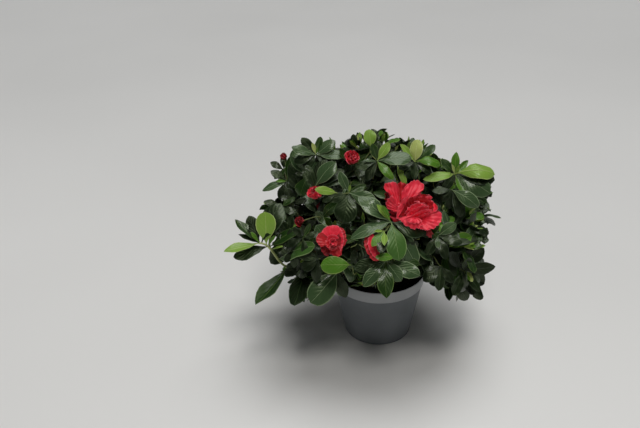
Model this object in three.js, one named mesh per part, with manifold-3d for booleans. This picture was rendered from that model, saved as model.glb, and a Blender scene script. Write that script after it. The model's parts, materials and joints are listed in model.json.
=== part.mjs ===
// A florist's azalea in its grower's pot: the pot, its peat, a short stem, the main boughs and the
// foliage masses of the crown. Millimetres, +Z up. The origin is the centre of the pot's flat
// underside, and -Y is the side that shows the most blooms.

import * as THREE from "three";
import { ImprovedNoise } from "three/addons/math/ImprovedNoise.js";
import { mergeVertices } from "three/addons/utils/BufferGeometryUtils.js";
import Module from "manifold-3d";

const wasm = await Module();
wasm.setup();

const clearance = 0.4; // between neighbouring pieces

const pot = {
  height: 93,
  rimRadius: 60,
  baseRadius: 43.5,
  collarHeight: 16,
  collarTaper: 1.2, // how much narrower the collar is at its lower edge
  collarStep: 1.4, // from the collar's lower edge in to the body
  wall: 1.3,
  floor: 1.8,
  footChamfer: 0.9,
  sides: 32,
  drainHoles: 8,
  drainRadius: 4,
  drainReach: 31,
  drainSides: 8,
};

const peat = {
  top: 82, // height of its surface over the underside
  edgeDrop: 1.6, // lower where it meets the wall
  rings: [0.8, 0.57, 0.34], // rings of its surface, as shares of its radius
  levelReach: 21, // the surface is level this far round the stem
  lump: 1.8,
  lumpSize: 17,
  seed: 0.5,
};

const stem = {
  height: 34, // from the peat to the fork
  footRadius: 8.6,
  flareShare: 0.3, // the part of the height that the root flare takes
  uprightShare: 0.45, // the part of the height below its bend
  radius: 6.2,
  forkRadius: 5.4,
  lean: [-2.4, -1.6], // how far the fork stands from the foot
  sides: 12,
  rings: 8,
};

const bough = {
  baseRadius: 2.5,
  tipRadius: 1.4,
  sides: 6,
  rings: 7,
};

const foliage = {
  detail: 3, // divisions of each mass's icosahedron
  lump: 0.3, // share of the radius that the large lumps move the surface
  lumpTurns: 1.5,
  tuft: 0.1,
  tuftTurns: 2.7,
  variety: 0.1, // how much the half sizes differ from mass to mass
  firstSeed: 1.3,
  seedStep: 3.7,
};

// The crown is built in tiers round the pot's axis. Azimuths are in degrees from +X towards +Y,
// heights are over the rim, and sizes are half sizes outwards, sideways and upwards. Every other
// mass of a tier is lower by its drop and further out by its spread. A bough's height on the stem
// is over the peat, and sag is how far its middle hangs below a straight line.
const tiers = [
  {
    names: ["front", "front_right", "right", "back_right", "back", "back_left", "left"],
    azimuth: 268,
    reach: 81.6,
    height: 78,
    size: [55, 53, 48],
    drop: 8,
    spread: 4.8,
    boughHeights: [23, 17],
    boughReach: 0,
    sag: 9,
  },
  {
    names: ["upper_right", "upper_back", "upper_left"],
    azimuth: 322,
    reach: 51.5,
    height: 122.5,
    size: [48, 58, 42],
    drop: 5,
    spread: 3,
    boughHeights: [27, 27],
    boughReach: 3.5,
    sag: -14,
  },
  {
    names: ["top"],
    azimuth: 202,
    reach: 9,
    height: 137,
    size: [43, 46, 40],
    drop: 0,
    spread: 0,
    boughHeights: [27, 27],
    boughReach: 3.5,
    sag: 0,
  },
];

// Smaller masses that hang over the rim, and the flat spray that the longest bough carries.
const skirts = [
  { name: "low_front", azimuth: 272, reach: 82, height: 25, size: [24, 38, 21], boughHeight: 15 },
  { name: "low_right", azimuth: 340, reach: 94, height: 30, size: [31, 34, 27], boughHeight: 12 },
  { name: "low_back_right", azimuth: 56, reach: 88, height: 28, size: [26, 40, 24], boughHeight: 12 },
  { name: "low_back_left", azimuth: 128, reach: 88, height: 25, size: [27, 42, 26], boughHeight: 14 },
  { name: "low_left", azimuth: 217, reach: 93, height: 20, size: [28, 38, 32], boughHeight: 17 },
];
const spray = {
  name: "left_spray",
  azimuth: 208,
  reach: 168,
  height: 66,
  size: [43, 17, 62],
  boughHeight: 11,
  sag: 26,
  baseRadius: 2.7,
};

const noise = new ImprovedNoise();
const zAxis = new THREE.Vector3(0, 0, 1);
const blockSize = 400; // larger than any mass
const radians = (degrees) => THREE.MathUtils.degToRad(degrees);

const plastic = new THREE.MeshStandardMaterial({ color: 0x5b6064, roughness: 0.62, metalness: 0 });
const soil = new THREE.MeshStandardMaterial({ color: 0x2a1e17, roughness: 0.95, metalness: 0 });
const bark = new THREE.MeshStandardMaterial({ color: 0x6a5340, roughness: 0.85, metalness: 0 });

// Each mass has its own green, from the shaded skirts to the lit top.
function leafGreen(height) {
  const lit = THREE.MathUtils.clamp(height / 160, 0, 1);
  const color = new THREE.Color(0x24401f).lerp(new THREE.Color(0x4d7a35), lit);
  return new THREE.MeshStandardMaterial({ color, roughness: 0.5, metalness: 0 });
}

// A closed geometry as a solid that can be joined and cut.
function solidOf(geometry) {
  const bare = new THREE.BufferGeometry();
  bare.setAttribute("position", geometry.getAttribute("position"));
  bare.setIndex(geometry.index);
  const merged = mergeVertices(bare, 1e-3);
  return new wasm.Manifold(
    new wasm.Mesh({
      numProp: 3,
      vertProperties: merged.attributes.position.array,
      triVerts: new Uint32Array(merged.index.array),
    }),
  );
}

// The largest body of a solid, as a named mesh.
function meshOf(name, solid, material) {
  const bodies = solid.decompose().sort((a, b) => b.volume() - a.volume());
  const made = bodies[0].getMesh();
  const geometry = new THREE.BufferGeometry();
  geometry.setAttribute("position", new THREE.BufferAttribute(made.vertProperties, 3));
  geometry.setIndex(new THREE.BufferAttribute(made.triVerts, 1));
  geometry.computeVertexNormals();
  const mesh = new THREE.Mesh(geometry, material);
  mesh.name = name;
  return mesh;
}

// A place given by its azimuth, its reach from the axis and its height over the rim.
function placeAt(azimuth, reach, height) {
  const angle = radians(azimuth);
  return new THREE.Vector3(reach * Math.cos(angle), reach * Math.sin(angle), pot.height + height);
}

// LatheGeometry turns about Y, so a turned piece is stood up along Z.
function turned(profile, sides) {
  const points = profile.map(([radius, height]) => new THREE.Vector2(radius, height));
  return new THREE.LatheGeometry(points, sides).rotateX(Math.PI / 2);
}

const collarFoot = pot.height - pot.collarHeight;
const collarFootRadius = pot.rimRadius - pot.collarTaper;
const bodyTopRadius = collarFootRadius - pot.collarStep;
const innerStep = collarFoot + pot.wall; // the step inside lies a wall's thickness higher

// The pot's inner radius at a height over its underside.
function innerRadius(z) {
  if (z >= innerStep) {
    const up = (z - innerStep) / (pot.height - innerStep);
    return THREE.MathUtils.lerp(collarFootRadius, pot.rimRadius, up) - pot.wall;
  }
  const up = (z - pot.floor) / (innerStep - pot.floor);
  return THREE.MathUtils.lerp(pot.baseRadius, bodyTopRadius, up) - pot.wall;
}

function makePot() {
  const profile = [
    [0, 0],
    [pot.baseRadius - pot.footChamfer, 0],
    [pot.baseRadius, pot.footChamfer],
    [bodyTopRadius, collarFoot],
    [collarFootRadius, collarFoot],
    [pot.rimRadius, pot.height - pot.footChamfer],
    [pot.rimRadius - pot.wall / 2, pot.height],
    [innerRadius(pot.height), pot.height - pot.footChamfer],
    [innerRadius(innerStep), innerStep],
    [innerRadius(innerStep - pot.wall), innerStep - pot.wall],
    [innerRadius(pot.floor), pot.floor],
    [0, pot.floor],
  ];
  const { drainRadius, drainReach, drainHoles, drainSides } = pot;
  const drillLength = 4 * pot.floor; // well past both faces of the floor
  let shell = solidOf(turned(profile, pot.sides));
  for (let i = 0; i < drainHoles; i += 1) {
    const drill = new THREE.CylinderGeometry(drainRadius, drainRadius, drillLength, drainSides);
    const angle = (i * 2 * Math.PI) / drainHoles;
    drill.rotateX(Math.PI / 2);
    drill.translate(drainReach * Math.cos(angle), drainReach * Math.sin(angle), pot.floor);
    shell = shell.subtract(solidOf(drill));
  }
  return meshOf("pot", shell, plastic);
}

// The peat fills the pot to a little below its rim. Its surface is lumpy but level round the stem.
function makePeat() {
  const edge = (z) => innerRadius(z) - clearance;
  const rimOfPeat = peat.top - peat.edgeDrop;
  const profile = [
    [0, pot.floor + clearance],
    [edge(pot.floor) - clearance, pot.floor + clearance],
    [edge(innerStep - pot.wall), innerStep - pot.wall + clearance],
    [edge(innerStep), innerStep + clearance],
    [edge(rimOfPeat), rimOfPeat],
    ...peat.rings.map((share) => [share * edge(rimOfPeat), peat.top]),
    [0, peat.top],
  ];
  const geometry = turned(profile, pot.sides);
  const position = geometry.getAttribute("position");
  for (let i = 0; i < position.count; i += 1) {
    const x = position.getX(i);
    const y = position.getY(i);
    const onSurface = position.getZ(i) > peat.top - peat.edgeDrop / 2;
    if (onSurface && Math.hypot(x, y) > peat.levelReach) {
      const unevenness = noise.noise(x / peat.lumpSize, y / peat.lumpSize, peat.seed);
      position.setZ(i, peat.top + peat.lump * unevenness);
    }
  }
  return meshOf("peat", solidOf(geometry), soil);
}

// A limb along a curve: a cylinder whose rings are carried onto the curve, with a radius that
// changes from base (0) to tip (1). Growth makes it larger all round and at both ends.
function limb(curve, radiusAt, sides, rings, growth = 0) {
  const geometry = new THREE.CylinderGeometry(1, 1, 1, sides, rings);
  const position = geometry.getAttribute("position");
  const { tangents, normals, binormals } = curve.computeFrenetFrames(rings);
  for (let i = 0; i < position.count; i += 1) {
    const ring = Math.round((position.getY(i) + 0.5) * rings);
    const share = ring / rings;
    const radius = radiusAt(share) + growth;
    const point = curve.getPointAt(share);
    point.addScaledVector(binormals[ring], position.getX(i) * radius);
    point.addScaledVector(normals[ring], position.getZ(i) * radius);
    if (ring === 0) point.addScaledVector(tangents[ring], -growth);
    if (ring === rings) point.addScaledVector(tangents[ring], growth);
    position.setXYZ(i, point.x, point.y, point.z);
  }
  return solidOf(geometry);
}

const stemFoot = peat.top + clearance;
const stemCurve = new THREE.QuadraticBezierCurve3(
  new THREE.Vector3(0, 0, stemFoot),
  new THREE.Vector3(0, 0, stemFoot + stem.height * stem.uprightShare),
  new THREE.Vector3(...stem.lean, stemFoot + stem.height),
);

function stemRadius(share) {
  const flare = Math.max(0, 1 - share / stem.flareShare) ** 2;
  const shaft = THREE.MathUtils.lerp(stem.radius, stem.forkRadius, share);
  return shaft + flare * (stem.footRadius - stem.radius);
}

function boughRadius(base) {
  return (share) => THREE.MathUtils.lerp(base, bough.tipRadius, share);
}

// A bough leaves the stem at a height over the peat, a little off the stem's axis, and runs
// towards the middle of its mass.
function boughCurve(mass) {
  const start = stemCurve.getPoint(mass.boughHeight / stem.height);
  const toMass = mass.centre.clone().sub(start);
  const outwards = new THREE.Vector3(toMass.x, toMass.y, 0).normalize();
  start.addScaledVector(outwards, mass.boughReach ?? 0);
  const middle = start.clone().lerp(mass.centre, 0.5);
  middle.z -= mass.sag ?? 0;
  return new THREE.QuadraticBezierCurve3(start, middle, mass.centre);
}

function makeBough(mass, growth) {
  const radius = boughRadius(mass.baseRadius ?? bough.baseRadius);
  return limb(boughCurve(mass), radius, bough.sides, bough.rings, growth);
}

// A foliage mass: an icosphere stretched to the mass's half sizes and made uneven by two grades
// of noise, turned so that its first size points outwards.
function massShape(mass, growth) {
  const geometry = new THREE.IcosahedronGeometry(1, foliage.detail);
  const position = geometry.getAttribute("position");
  const direction = new THREE.Vector3();
  const point = new THREE.Vector3();
  const unevenness = ({ x, y, z }, turns) =>
    noise.noise(x * turns + mass.seed, y * turns - mass.seed, z * turns + 2 * mass.seed);
  for (let i = 0; i < position.count; i += 1) {
    direction.fromBufferAttribute(position, i);
    const swell =
      1 +
      foliage.lump * unevenness(direction, foliage.lumpTurns) +
      foliage.tuft * unevenness(direction, foliage.tuftTurns);
    point.set(...mass.size).multiply(direction).multiplyScalar(swell);
    point.addScaledVector(direction, growth);
    position.setXYZ(i, point.x, point.y, point.z);
  }
  geometry.rotateZ(radians(mass.azimuth));
  geometry.translate(...mass.centre);
  return solidOf(geometry);
}

// Every mass with its place in the crown, the tiers first.
function listMasses() {
  const found = [];
  for (const tier of tiers) {
    tier.names.forEach((name, i) => {
      const odd = i % 2;
      found.push({
        name,
        azimuth: tier.azimuth + (i * 360) / tier.names.length,
        reach: tier.reach + odd * tier.spread,
        height: tier.height - odd * tier.drop,
        size: tier.size,
        boughHeight: tier.boughHeights[odd],
        boughReach: tier.boughReach,
        sag: tier.sag,
      });
    });
  }
  found.push(...skirts, spray);
  return found.map((mass, i) => {
    const seed = foliage.firstSeed + foliage.seedStep * i;
    const size = mass.size.map((half, k) => half * (1 + foliage.variety * noise.noise(seed, k, seed)));
    return { ...mass, seed, size, centre: placeAt(mass.azimuth, mass.reach, mass.height) };
  });
}

// How far a mass reaches from its middle along a direction, before its lumps.
function reachAlong(mass, direction) {
  const own = direction.clone().applyAxisAngle(zAxis, -radians(mass.azimuth));
  return 1 / own.divide(new THREE.Vector3(...mass.size)).length();
}

// A block that takes from a mass what lies beyond the flat border with its neighbour. The border
// goes through the line where two round masses of their reaches would meet.
function beyondBorder(mass, neighbour, growth) {
  const way = neighbour.centre.clone().sub(mass.centre);
  const distance = way.length();
  way.normalize();
  const ownReach = reachAlong(mass, way);
  const itsReach = reachAlong(neighbour, way);
  const middle = (distance ** 2 + ownReach ** 2 - itsReach ** 2) / (2 * distance);
  const border = middle - clearance / 2 + growth;
  const block = new THREE.BoxGeometry(blockSize, blockSize, blockSize);
  block.translate(0, 0, border + blockSize / 2);
  block.applyQuaternion(new THREE.Quaternion().setFromUnitVectors(zAxis, way));
  block.translate(...mass.centre);
  return solidOf(block);
}

// A whole mass, up to its borders. Growth makes it larger all round.
function makeMass(mass, masses, growth) {
  const neighbours = masses.filter((other) => other !== mass);
  return neighbours.reduce(
    (solid, neighbour) => solid.subtract(beyondBorder(mass, neighbour, growth)),
    massShape(mass, growth),
  );
}

function makePlant() {
  const plant = new THREE.Group();
  const masses = listMasses();
  const stemSolid = limb(stemCurve, stemRadius, stem.sides, stem.rings);
  const stemRoom = limb(stemCurve, stemRadius, stem.sides, stem.rings, clearance);
  const sprayMass = masses.at(-1);
  const sprayRoom = makeBough(sprayMass, clearance);
  plant.add(meshOf("stem", stemSolid, bark));

  // The masses are cut round the long bough that runs through the lowest of them to its spray.
  for (const mass of masses) {
    let solid = makeMass(mass, masses, 0);
    if (mass !== sprayMass) solid = solid.subtract(sprayRoom);
    plant.add(meshOf(`foliage_${mass.name}`, solid, leafGreen(mass.height)));
  }

  // Boughs start on the stem and end where they enter their masses. Where two meet at the stem,
  // the one made first keeps its shape.
  const rooms = masses.map((mass) => makeMass(mass, masses, clearance));
  const taken = [stemRoom];
  for (const mass of [sprayMass, ...masses.slice(0, -1)]) {
    let solid = makeBough(mass, 0);
    for (const room of taken) solid = solid.subtract(room);
    const entered = mass === sprayMass ? rooms.slice(-1) : rooms;
    for (const room of entered) solid = solid.subtract(room);
    taken.push(makeBough(mass, clearance));
    plant.add(meshOf(`bough_${mass.name}`, solid, bark));
  }
  return plant;
}

const azalea = new THREE.Group();
azalea.add(makePot(), makePeat(), makePlant());

export default azalea;
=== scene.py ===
# A florist's azalea in flower, in its grower's pot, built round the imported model.
# Lengths in the dictionaries are in millimetres and angles in degrees. Blender's own are metres.
import json
import math
import random

import bmesh
import bpy
import numpy as np
from mathutils import Matrix, Quaternion, Vector, noise
from mathutils.bvhtree import BVHTree

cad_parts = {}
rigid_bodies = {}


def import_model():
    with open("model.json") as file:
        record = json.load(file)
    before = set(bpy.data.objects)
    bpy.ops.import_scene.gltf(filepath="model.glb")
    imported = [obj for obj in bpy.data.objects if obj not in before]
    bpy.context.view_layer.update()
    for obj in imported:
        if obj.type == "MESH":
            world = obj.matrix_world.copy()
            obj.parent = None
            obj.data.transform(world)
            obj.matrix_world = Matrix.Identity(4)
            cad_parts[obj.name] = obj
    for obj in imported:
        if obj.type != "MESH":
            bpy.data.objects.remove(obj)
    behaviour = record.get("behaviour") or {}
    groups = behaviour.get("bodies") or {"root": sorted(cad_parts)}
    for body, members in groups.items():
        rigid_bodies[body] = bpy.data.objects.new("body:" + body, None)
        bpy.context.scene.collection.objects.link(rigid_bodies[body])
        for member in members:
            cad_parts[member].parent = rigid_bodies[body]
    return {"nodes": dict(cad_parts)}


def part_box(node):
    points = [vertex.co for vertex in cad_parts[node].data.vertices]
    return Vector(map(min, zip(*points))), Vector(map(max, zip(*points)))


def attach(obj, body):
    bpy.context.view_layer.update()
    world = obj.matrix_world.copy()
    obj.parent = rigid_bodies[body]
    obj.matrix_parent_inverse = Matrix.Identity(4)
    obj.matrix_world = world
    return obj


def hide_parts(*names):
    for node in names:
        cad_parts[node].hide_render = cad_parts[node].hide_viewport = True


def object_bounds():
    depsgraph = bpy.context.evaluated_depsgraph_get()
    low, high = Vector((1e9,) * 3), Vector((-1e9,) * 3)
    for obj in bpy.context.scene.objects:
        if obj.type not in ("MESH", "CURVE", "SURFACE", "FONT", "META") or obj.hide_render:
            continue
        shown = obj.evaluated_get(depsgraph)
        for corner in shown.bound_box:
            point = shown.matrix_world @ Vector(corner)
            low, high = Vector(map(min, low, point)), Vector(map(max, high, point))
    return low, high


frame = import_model()

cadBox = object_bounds()
nodes = frame["nodes"]
mm = 0.001
up = Vector((0, 0, 1))
goldenAngle = 137.508
scene = bpy.context.scene
scene.view_settings.view_transform = "Standard"


# Camera: the viewing angle of the photo, looking down on the pot's rim.
cameraSet = {
    "imageWidth": 640,
    "imageHeight": 428,
    "focal": 742,  # in pixels of the image
    "place": (-57, -803, 621),
    "pitch": 29.2,
    "yaw": -1.19,
    "roll": -1.44,
}


def cameraBasis(pitch, yaw, roll):
    ahead = Vector((math.sin(yaw) * math.cos(pitch), math.cos(yaw) * math.cos(pitch), -math.sin(pitch)))
    level = Vector((math.cos(yaw), -math.sin(yaw), 0))
    right = math.cos(roll) * level + math.sin(roll) * level.cross(ahead)
    return ahead, right, right.cross(ahead)


def linkObject(name, data):
    made = bpy.data.objects.new(name, data)
    scene.collection.objects.link(made)
    return made


ahead, rightward, upward = cameraBasis(*(math.radians(cameraSet[a]) for a in ("pitch", "yaw", "roll")))
eye = Vector(cameraSet["place"]) * mm
focal, middleX, middleY = cameraSet["focal"], cameraSet["imageWidth"] / 2, cameraSet["imageHeight"] / 2
lens = bpy.data.cameras.new("camera")
lens.lens = focal / cameraSet["imageWidth"] * lens.sensor_width
camera = linkObject("camera", lens)
camera.matrix_world = Matrix.Translation(eye) @ Matrix((rightward, upward, -ahead)).transposed().to_4x4()
scene.camera = camera


def pixelRay(pixel):  # the direction in which the camera sees a pixel of the 640 by 428 image
    across, down = (pixel[0] - middleX) / focal, (pixel[1] - middleY) / focal
    return (ahead + rightward * across - upward * down).normalized()


def toPixel(place):  # the pixel that shows a place, and how far ahead of the camera the place is
    away = place - eye
    depth = away.dot(ahead)
    across, rise = away.dot(rightward) / depth, away.dot(upward) / depth
    return middleX + focal * across, middleY - focal * rise, depth


def atDepth(pixel, depth):  # the place that a pixel shows at a depth ahead of the camera
    ray = pixelRay(pixel)
    return eye + ray * (depth / ray.dot(ahead))


def onPlane(pixel, y):  # the place that a pixel shows on the upright plane at y
    ray = pixelRay(pixel)
    return eye + ray * ((y - eye.y) / ray.y)


print("camera set")


# Small helpers for shapes
def lerp(a, b, share):
    return a + (b - a) * share


def onCircle(radius, turn, height=0.0):  # turn: 1 is all the way round
    angle = 2 * math.pi * turn
    return Vector((radius * math.cos(angle), radius * math.sin(angle), height))


def arc(centreR, centreZ, radius, start, end, steps):
    angles = [math.radians(lerp(start, end, i / steps)) for i in range(steps + 1)]
    return [(centreR + radius * math.cos(a), centreZ + radius * math.sin(a)) for a in angles]


def linkMesh(name, points, faces=(), edges=()):
    mesh = bpy.data.meshes.new(name)
    mesh.from_pydata([tuple(p) for p in points], [tuple(e) for e in edges], [tuple(f) for f in faces])
    return linkObject(name, mesh)


def spin(name, profile, sides):  # turns an outline of radii and heights about the upright axis
    points, faces, rings = [], [], []
    for radius, height in profile:
        count = sides if radius else 1
        rings.append(range(len(points), len(points) + count))
        points += [onCircle(radius * mm, i / sides, height * mm) for i in range(count)]
    for low, high in zip(rings, rings[1:]):
        for i in range(sides):
            j = (i + 1) % sides
            if len(low) == 1:
                faces.append((low[0], high[j], high[i]))
            elif len(high) == 1:
                faces.append((low[i], low[j], high[0]))
            else:
                faces.append((high[i], low[i], low[j], high[j]))
    return linkMesh(name, points, faces)


def gridFaces(rows, columns):
    return [(r * columns + c, (r + 1) * columns + c, (r + 1) * columns + c + 1, r * columns + c + 1)
            for r in range(rows - 1) for c in range(columns - 1)]


def ringFaces(rings, sides):  # the faces between rings of points that follow each other along X
    steps = [(r * sides + i, r * sides + (i + 1) % sides) for r in range(rings - 1) for i in range(sides)]
    return [(a, b, b + sides, a + sides) for a, b in steps]


def stripFaces(first, pairs):  # the faces of a strip whose points come in pairs
    return [(i, i + 1, i + 3, i + 2) for i in range(first, first + 2 * pairs - 2, 2)]


def turned(faces):  # the same faces, seen from the other side
    return [(face[0], *face[:0:-1]) for face in faces]


def smoothFaces(made):
    made.data.polygons.foreach_set("use_smooth", [True] * len(made.data.polygons))
    made.data.update()


def mapPoints(made, spots):  # the map that the patterns of leaves and petals follow
    chart = made.data.uv_layers.new(name="leafMap")
    for loop in made.data.loops:
        chart.data[loop.index].uv = spots[loop.vertex_index]


def setAttribute(made, name, kind, values):
    attribute = made.data.attributes.new(name, kind, "POINT")
    key = "vector" if kind == "FLOAT_VECTOR" else "value"
    number = np.int32 if kind == "INT" else np.float32
    attribute.data.foreach_set(key, np.asarray(values, dtype=number).ravel())


def keepResult(made):  # makes what an object's modifier gives its own plain mesh
    graph = bpy.context.evaluated_depsgraph_get()
    mesh = bpy.data.meshes.new_from_object(made.evaluated_get(graph), preserve_all_data_layers=True,
                                           depsgraph=graph)
    made.modifiers.clear()
    bare = made.data
    made.data = mesh
    bpy.data.meshes.remove(bare)
    mesh.name = made.name


def finishPieces(slot, *pieces):
    for piece in pieces:
        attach(piece, "root")


# Small helpers for node trees
def feed(tree, socket, value):  # links an input to another node's output, or sets it
    if isinstance(value, bpy.types.NodeSocket):
        tree.links.new(value, socket)
    else:
        socket.default_value = value


# Sets a new node's properties and feeds its inputs, by name, and gives one output
def addNode(tree, kind, give=0, **settings):
    node = tree.nodes.new(kind)
    for key, value in settings.items():
        if hasattr(node, key):
            setattr(node, key, value)
        else:
            feed(tree, node.inputs[key.replace("_", " ")], value)
    return node.outputs[give]


def mathNode(tree, operation, first, second=0.0, kind="ShaderNodeMath"):
    node = tree.nodes.new(kind)
    node.operation = operation
    for socket, value in zip(node.inputs, (first, second)):
        feed(tree, socket, value)
    return node.outputs[0]


def partOf(tree, vector, axis):
    return addNode(tree, "ShaderNodeSeparateXYZ", axis, Vector=vector)


def attributeIn(tree, name, kind):
    return addNode(tree, "GeometryNodeInputNamedAttribute", "Attribute", data_type=kind, Name=name)


def scaled(tree, vector, amount):
    return addNode(tree, "ShaderNodeVectorMath", operation="SCALE", Vector=vector, Scale=amount)


def newNodeTree(name, inputs):  # gives a tree and the outputs of its input node
    tree = bpy.data.node_groups.new(name, "GeometryNodeTree")
    for flow in ("INPUT", "OUTPUT"):
        tree.interface.new_socket("Geometry", in_out=flow, socket_type="NodeSocketGeometry")
    for label, kind in {**inputs, "Material": "Material"}.items():
        tree.interface.new_socket(label, in_out="INPUT", socket_type="NodeSocket" + kind)
    return tree, tree.nodes.new("NodeGroupInput").outputs


def endTree(tree, given, mesh):  # every tree ends in Realize Instances and Set Material
    real = addNode(tree, "GeometryNodeRealizeInstances", Geometry=mesh)
    dressed = addNode(tree, "GeometryNodeSetMaterial", Geometry=real, Material=given["Material"])
    tree.links.new(dressed, tree.nodes.new("NodeGroupOutput").inputs[0])
    return tree


def growWith(made, tree, settings):  # puts a tree on an object, sets its inputs and keeps the plain result
    modifier = made.modifiers.new(tree.name, "NODES")
    modifier.node_group = tree
    for item in tree.interface.items_tree:
        if item.in_out == "INPUT" and item.name in settings:
            modifier[item.identifier] = settings[item.name]
    keepResult(made)
    for spare in ("turn", "size", "shape", "along", "radius", "loose"):
        if spare in made.data.attributes:
            made.data.attributes.remove(made.data.attributes[spare])
    return made


# Materials
def newMaterial(name, **settings):
    material = bpy.data.materials.new(name)
    material.use_nodes = True
    shader = material.node_tree.nodes["Principled BSDF"]
    for key, value in settings.items():
        socket = shader.inputs[key.replace("_", " ")]
        socket.default_value = (*value, 1) if isinstance(value, tuple) else value
    return material, material.node_tree, shader.inputs


def srgb(red, green, blue):
    channels = [c / 255 for c in (red, green, blue)]
    return tuple(c / 12.92 if c <= 0.04045 else ((c + 0.055) / 1.055) ** 2.4 for c in channels)


def bumpInto(tree, shader, height, strength, distance):
    bump = addNode(tree, "ShaderNodeBump", Height=height, Strength=strength, Distance=distance * mm)
    tree.links.new(bump, shader["Normal"])


def noiseOn(tree, scale, detail):
    place = addNode(tree, "ShaderNodeTexCoord", "Object")
    return addNode(tree, "ShaderNodeTexNoise", "Fac", Vector=place, Scale=scale, Detail=detail)


def roughnessInto(tree, shader, scale, detail, low, high):  # a roughness that wavers between two values
    waver = noiseOn(tree, scale, detail)
    rough = addNode(tree, "ShaderNodeMapRange", Value=waver, To_Min=low, To_Max=high)
    tree.links.new(rough, shader["Roughness"])


def ramp(tree, source, *stops):  # each stop is its place and its colour
    band = tree.nodes.new("ShaderNodeValToRGB")
    elements = band.color_ramp.elements
    while len(elements) < len(stops):
        elements.new(0.5)
    for element, (place, colour) in zip(elements, stops):
        element.position = place
        element.color = (*srgb(*colour), 1)
    tree.links.new(source, band.inputs[0])
    return band.outputs[0]


def blendAlong(tree, axis, low, high, first, second):  # one colour turns into another along an axis
    place = partOf(tree, addNode(tree, "ShaderNodeTexCoord", "Object"), axis)
    share = addNode(tree, "ShaderNodeMapRange", Value=place, From_Min=low * mm, From_Max=high * mm)
    blend = tree.nodes.new("ShaderNodeMix")
    blend.data_type = "RGBA"
    for socket, value in zip((blend.inputs[0], *blend.inputs[6:8]), (share, first, second)):
        feed(tree, socket, value)
    return blend.outputs[2]


# The crown's outline, from the solid masses
def triangles(node):
    mesh = nodes[node].data
    mesh.calc_loop_triangles()
    points = np.array([v.co[:] for v in mesh.vertices])
    return points[np.array([t.vertices[:] for t in mesh.loop_triangles])]


massNames = sorted(n for n in nodes if n.startswith("foliage_"))
massTriangles = {name: triangles(name) for name in massNames}
crownPoints = [Vector(p) for name in massNames for p in massTriangles[name].reshape(-1, 3)]
crownFaces = [(i, i + 1, i + 2) for i in range(0, len(crownPoints), 3)]
crownOwner = [name for name in massNames for _ in massTriangles[name]]
crownTree = BVHTree.FromPolygons(crownPoints, crownFaces)
massCentre = {name: Vector(massTriangles[name].reshape(-1, 3).mean(0)) for name in massNames}
crownCentre = Vector((0, 0, 150)) * mm


# Limbs: the middle lines of the stem and the boughs, from their solids
limbSet = {
    "ringGap": 3.0,  # points of one ring of a limb lie closer than this along it
    "rootIn": 6.0,  # how far a bough starts inside the stem
    "boughRadius": (2.9, 1.5),
    "sprayRadius": (3.0, 1.7),
    "greenFrom": (62.0, 88.0),  # how far to the left the long bough turns green
    "stemRadius": (6.4, 5.4),
    "flare": 2.6,
    "flareShare": 0.3,
    "stemStep": 1.2,
    "boughStep": 1.6,
    "intoPeat": 1.5,
}


def ringMiddles(node, start, towards):
    points = np.unique(np.round(triangles(node).reshape(-1, 3), 6), axis=0)
    along = (points - np.array(start)) @ np.array(towards)
    order = np.argsort(along)
    points, along = points[order], along[order]
    splits = np.where(np.diff(along) > limbSet["ringGap"] * mm)[0] + 1
    return [Vector(ring.mean(0)) for ring in np.split(points, splits) if len(ring) > 3]


def chord(node, start):  # the direction in which a limb leaves its start
    points = triangles(node).reshape(-1, 3)
    far = points[np.argmax(np.linalg.norm(points - np.array(start), axis=1))]
    return (Vector(far) - Vector(start)).normalized()


def smoothLine(points, step):  # a Catmull-Rom line through the points, with a point at each step
    held = [points[0] * 2 - points[1], *points, points[-1] * 2 - points[-2]]
    line = []
    for a, b, c, d in zip(held, held[1:], held[2:], held[3:]):
        count = max(1, round((c - b).length / step))
        for i in range(count):
            t = i / count
            line.append(0.5 * (2 * b + (c - a) * t + (2 * a - 5 * b + 4 * c - d) * t**2
                               + (3 * b - a - 3 * c + d) * t**3))
    line.append(points[-1].copy())
    return line


stemLow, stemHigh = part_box("stem")
stemMiddles = ringMiddles("stem", (0, 0, stemLow.z), up)
boughLines = {}
for node in sorted(n for n in nodes if n.startswith("bough_")):
    foot = Vector((0, 0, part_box(node)[0].z))
    middles = ringMiddles(node, foot, chord(node, foot))
    root = middles[0] - (middles[1] - middles[0]).normalized() * limbSet["rootIn"] * mm
    boughLines[node[len("bough_"):]] = [root, *middles]


# Shoots. Each ends in a whorl of leaves, and some carry a bloom. Those that stand out in the photo
# are placed by their pixel in it, on the crown's outline, and the rest fill the outline evenly.
shootSet = {
    "seed": 11,
    "spacing": 21.5,
    "undersideSpacing": 33.0,
    "uneven": (0.85, 1.1),  # what the spacing is multiplied by
    "seenClear": 16.1,  # the room round a shoot that is placed by the photo
    "innerSpacing": 27.0,
    "innerClear": 16.2,  # how far inner shoots keep from the outer ones
    "innerShare": (0.3, 0.7),  # where inner shoots end, from their mass's middle to its outline
    "sink": (7.0, 18.0),  # how far below the outline a shoot ends, as its leaves reach past it
    "clearAhead": 16.0,
    "tries": 36000,  # for a square metre
    "leastTries": 60,
    "youngShare": 0.14,
    "underside": -0.45,  # a normal's height below which it points down
    "rise": {"outer": 0.4, "low": 0.15, "inner": 0.3},
    "wander": 0.16,
    "turns": (0.5, 0.4),  # of an axis, by the outline's normal and by the way out of the crown
    "seenTurns": (0.3, 0.45, 0.5),  # of one in the photo, by the camera, the sky and the normal
    "openFrom": 0.6,
}
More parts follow.
